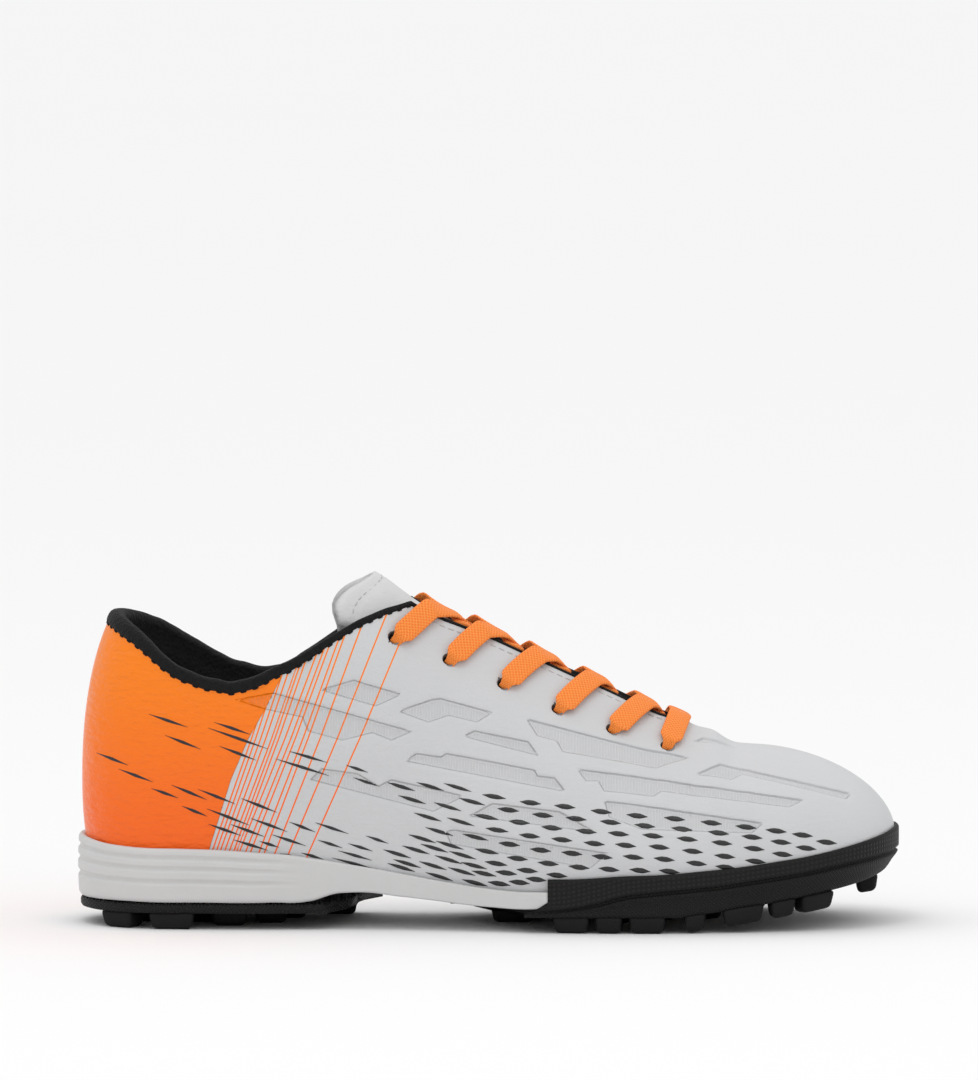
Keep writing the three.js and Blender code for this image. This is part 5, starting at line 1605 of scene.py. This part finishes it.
# %% Lug blocks
LUG_WIDTH = 12.0
LUG_DRAFT = 1.5
LUG_INSET = 0.9
LUG_SINK = 0.6
TOE_LIFT_AT = .714
HEEL_END = .42


def edge_station(side, at):
    """The station on one side at a share of the length, on the fans too."""
    if HEEL_AXIS <= at <= TOE_AXIS:
        return side_station(side, np.array([at]))
    forward = at > TOE_AXIS
    axis = TOE_AXIS if forward else HEEL_AXIS
    roundness = TOE_ROUND if forward else HEEL_ROUND
    end = (1 - axis if forward else axis) * LENGTH
    share = np.clip(abs(at - axis) * LENGTH / end, 0, 1)
    turn = side * math.acos(share ** (roundness / 2))
    return fan_station(axis, 1 if forward else -1, roundness, np.array([turn]))


def lug_top(x):
    """Height at which a lug goes into the rubber above it."""
    at = x / LENGTH + .5
    return np.where(at > HEEL_END, plate_under(at), LUG) + LUG_SINK


def lug_block(corners):
    """A tapered block from four corners, down to the floor, or following the lift of the toe."""
    centre = corners.mean(0)
    reach = np.linalg.norm(corners - centre, axis=1)[:, None]
    foot = centre + (corners - centre) * (1 - LUG_DRAFT / reach)
    top = [(x, y, float(lug_top(x))) for x, y in corners]
    lifted = centre[0] / LENGTH + .5 > TOE_LIFT_AT
    low = [(x, y, float(plate_under(x / LENGTH + .5) - LUG) if lifted else 0.0) for x, y in foot]
    faces = [(0, 1, 2, 3), (7, 6, 5, 4), (0, 4, 5, 1), (1, 5, 6, 2), (2, 6, 7, 3), (3, 7, 4, 0)]
    return np.array(top + low), faces


print("lug", LUG_WIDTH, "mm wide and", LUG, "mm high")

# %% [markdown]
# All lugs of a plate are joined in one mesh, and one bevel rounds their edges, as the mould's
# cutter leaves them. The bevel stays a modifier, so that its width can be tried again.

# %% Lugs
LUG_BEVEL = 1.7
BEVEL_STEPS = 4
blocks = {"heel": [], "forefoot": []}
for side, spans in edge_lugs.items():
    for start, end in spans:
        corners = []
        insets = (LUG_INSET, LUG_INSET, LUG_WIDTH, LUG_WIDTH)
        for at, inset in zip((start, end, end, start), insets):
            station = edge_station(side, at)
            undercut_here = TOE_UNDERCUT * run(beds, "spring", at) * .75
            corners.append(at_reach(station, station["reach"] - inset - undercut_here, 0.0)[0][:2])
        blocks["heel" if start < HEEL_END else "forefoot"].append(lug_block(np.array(corners)))
for at, across, long, wide in inner_lugs:
    station = side_station(INNER, np.array([min(at, TOE_AXIS)]))
    reach = reach_of(INNER, min(at, TOE_AXIS))
    centre = np.array([(at - .5) * LENGTH, float(station["y"][0]) + across * reach])
    half = np.array([long, wide]) * LUG_WIDTH / 2
    corners = centre + half * np.array([(-1, -1), (1, -1), (1, 1), (-1, 1)])
    blocks["heel" if at < HEEL_END else "forefoot"].append(lug_block(corners))


def lug_piece(name, parts):
    """Many blocks as one piece with rounded edges."""
    piece = joined_piece(name, parts, rubber.made)
    bevel = piece.modifiers.new("soft_corners", "BEVEL")
    bevel.width = LUG_BEVEL * MM
    bevel.segments = BEVEL_STEPS
    bevel.limit_method = "ANGLE"


lug_piece("forefoot_lugs", blocks["forefoot"])
lug_piece("heel_lugs", blocks["heel"])
print("lugs", len(blocks["heel"]), len(blocks["forefoot"]))

# %% [markdown]
# The heel stands on its own rubber plate, flat below, rounded at its border and bowed at its front
# edge. A flat extrusion would have a sharp border, so a short profile is carried round the outline
# and filled towards the middle, as the forefoot's plate is.

# %% Heel plate
HEEL_PLATE = 3.4
BELOW_GROOVE = 20.0
BELOW_RIM = 9.0
FRONT_OUTER = .3
FRONT_MIDDLE = .34
FRONT_INNER = .37
heel_ring = joined(side_station(INNER, np.linspace(FRONT_INNER, HEEL_AXIS, 60)[:-1]),
                   fan_station(HEEL_AXIS, -1, HEEL_ROUND, np.linspace(QUARTER, -QUARTER, 80)[:-1]),
                   side_station(OUTER, np.linspace(HEEL_AXIS, FRONT_OUTER, 60)))
wide_heel = widened(heel_ring)
front = of_side(heel_ring["side"], FRONT_OUTER, FRONT_INNER)
forward_share = np.clip((heel_ring["at"] - HEEL_AXIS) / (front - HEEL_AXIS), 0, 1)
pull = (forward_share * ((FRONT_MIDDLE - front) * LENGTH))[:, None]
border_profile = [(2, 0), (1.15, .25), (.75, .9), (.7, 2.4), (1.1, 3.1), (2, HEEL_PLATE)]
heel_rows = [at_reach(heel_ring, heel_ring["reach"] - inset, LUG + z) for inset, z in border_profile]
heel_wall = np.stack(heel_rows, 1)
heel_shares = np.array([.85, .5, .2, 0])[None]
top_plate = at_reach(wide_heel, (wide_heel["reach"] - 3) * heel_shares, LUG + HEEL_PLATE)
low_plate = at_reach(wide_heel, (wide_heel["reach"] - 3) * heel_shares[:, ::-1], LUG)
top_plate[..., 0] += pull * (1 - heel_shares ** 2)
low_plate[..., 0] += pull * (1 - heel_shares[:, ::-1] ** 2)
heel_grid = np.concatenate([heel_wall, top_plate, low_plate], 1)
rows, columns = heel_grid.shape[:2]
heel_faces = grid_faces(rows, columns, False, True) + end_faces(rows, columns)
heel_height = heel_grid[..., 2]
heel_values = {"round_way": heel_grid[..., 0], "above_groove": heel_height - BELOW_GROOVE,
               "from_top": np.full(heel_height.shape, BELOW_RIM)}
heel_plate = make_piece("heel_plate", heel_grid, heel_faces, embossed.made, heel_values)
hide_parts("outsole_heel")

# %% [markdown]
# Inside lies the footbed, a thin sheet of foam under cloth, which hardly shows. Its solid already
# has the right shape, so it keeps its own mesh and only gets a cloth finish with a fine nap.

# %% Footbed finish
footbed = Finish("footbed_cloth", (0.025, 0.025, 0.027), 0.9, specular=0.2, sheen=0.3)
footbed.bump(footbed.cells(0.7), 0.15)
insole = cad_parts["insole"]
insole.data.materials.clear()
insole.data.materials.append(footbed.made)
print("finish", footbed.made.name, "on", insole.name)

# %% [markdown]
# A shop picture stands its shoe on white paper that runs on out of sight. A curved backdrop would
# do, but a very wide plain floor has no bend to place and meets the surround far behind the shoe.

# %% Floor
FLOOR_SIZE = 80
bpy.ops.mesh.primitive_plane_add(size=FLOOR_SIZE)
floor = bpy.context.object
floor.name = "floor"
paper = Finish("white_paper", (0.92, 0.92, 0.92), 0.95, specular=0.0)
paper.patched(900, (0.915, 0.915, 0.915), (0.925, 0.925, 0.925))
floor.data.materials.append(paper.made)
print("floor", FLOOR_SIZE, "metres")

# %% [markdown]
# The surround lights the shoe from all sides, as a light tent does, and more from above than from
# below. A small soft lamp above the shoe and a weaker one in front give it form and a faint shadow.
# A picture of a studio would do the same, but a plain gradient shows nothing in the gloss.

# %% Light
SURROUND_BELOW = 0.55
SURROUND_ABOVE = 1.22
LAMP_AIM = Vector((0, 0, .04))
scene.view_settings.view_transform = "Standard"
world = bpy.data.worlds.new("light_tent")
scene.world = world
world.use_nodes = True
sky = world.node_tree
up_way = sky.nodes.new("ShaderNodeTexCoord")
up_part = sky.nodes.new("ShaderNodeSeparateXYZ")
ramp = sky.nodes.new("ShaderNodeMapRange")
ramp.inputs["To Min"].default_value = SURROUND_BELOW
ramp.inputs["To Max"].default_value = SURROUND_ABOVE
sky.links.new(up_way.outputs["Generated"], up_part.inputs[0])
sky.links.new(up_part.outputs["Z"], ramp.inputs["Value"])
sky.links.new(ramp.outputs["Result"], sky.nodes["Background"].inputs["Strength"])
sky.nodes["Background"].inputs["Color"].default_value = (1, 1, 1, 1)


def soft_lamp(name, place, size, power):
    """A square lamp that looks at the shoe."""
    lamp = bpy.data.objects.new(name, bpy.data.lights.new(name, "AREA"))
    lamp.data.size = size
    lamp.data.energy = power
    lamp.location = place
    lamp.rotation_euler = (LAMP_AIM - lamp.location).to_track_quat("-Z", "Y").to_euler()
    scene.collection.objects.link(lamp)


soft_lamp("key_lamp", Vector((-.3, -.75, 1.9)), .5, 3)
soft_lamp("front_lamp", Vector((1.4, -1.6, .9)), .8, 1)

# %% [markdown]
# The dressed shoe's box should stay within a few millimetres of the solids' box, because whoever uses
# the part trusts the size of the solids.
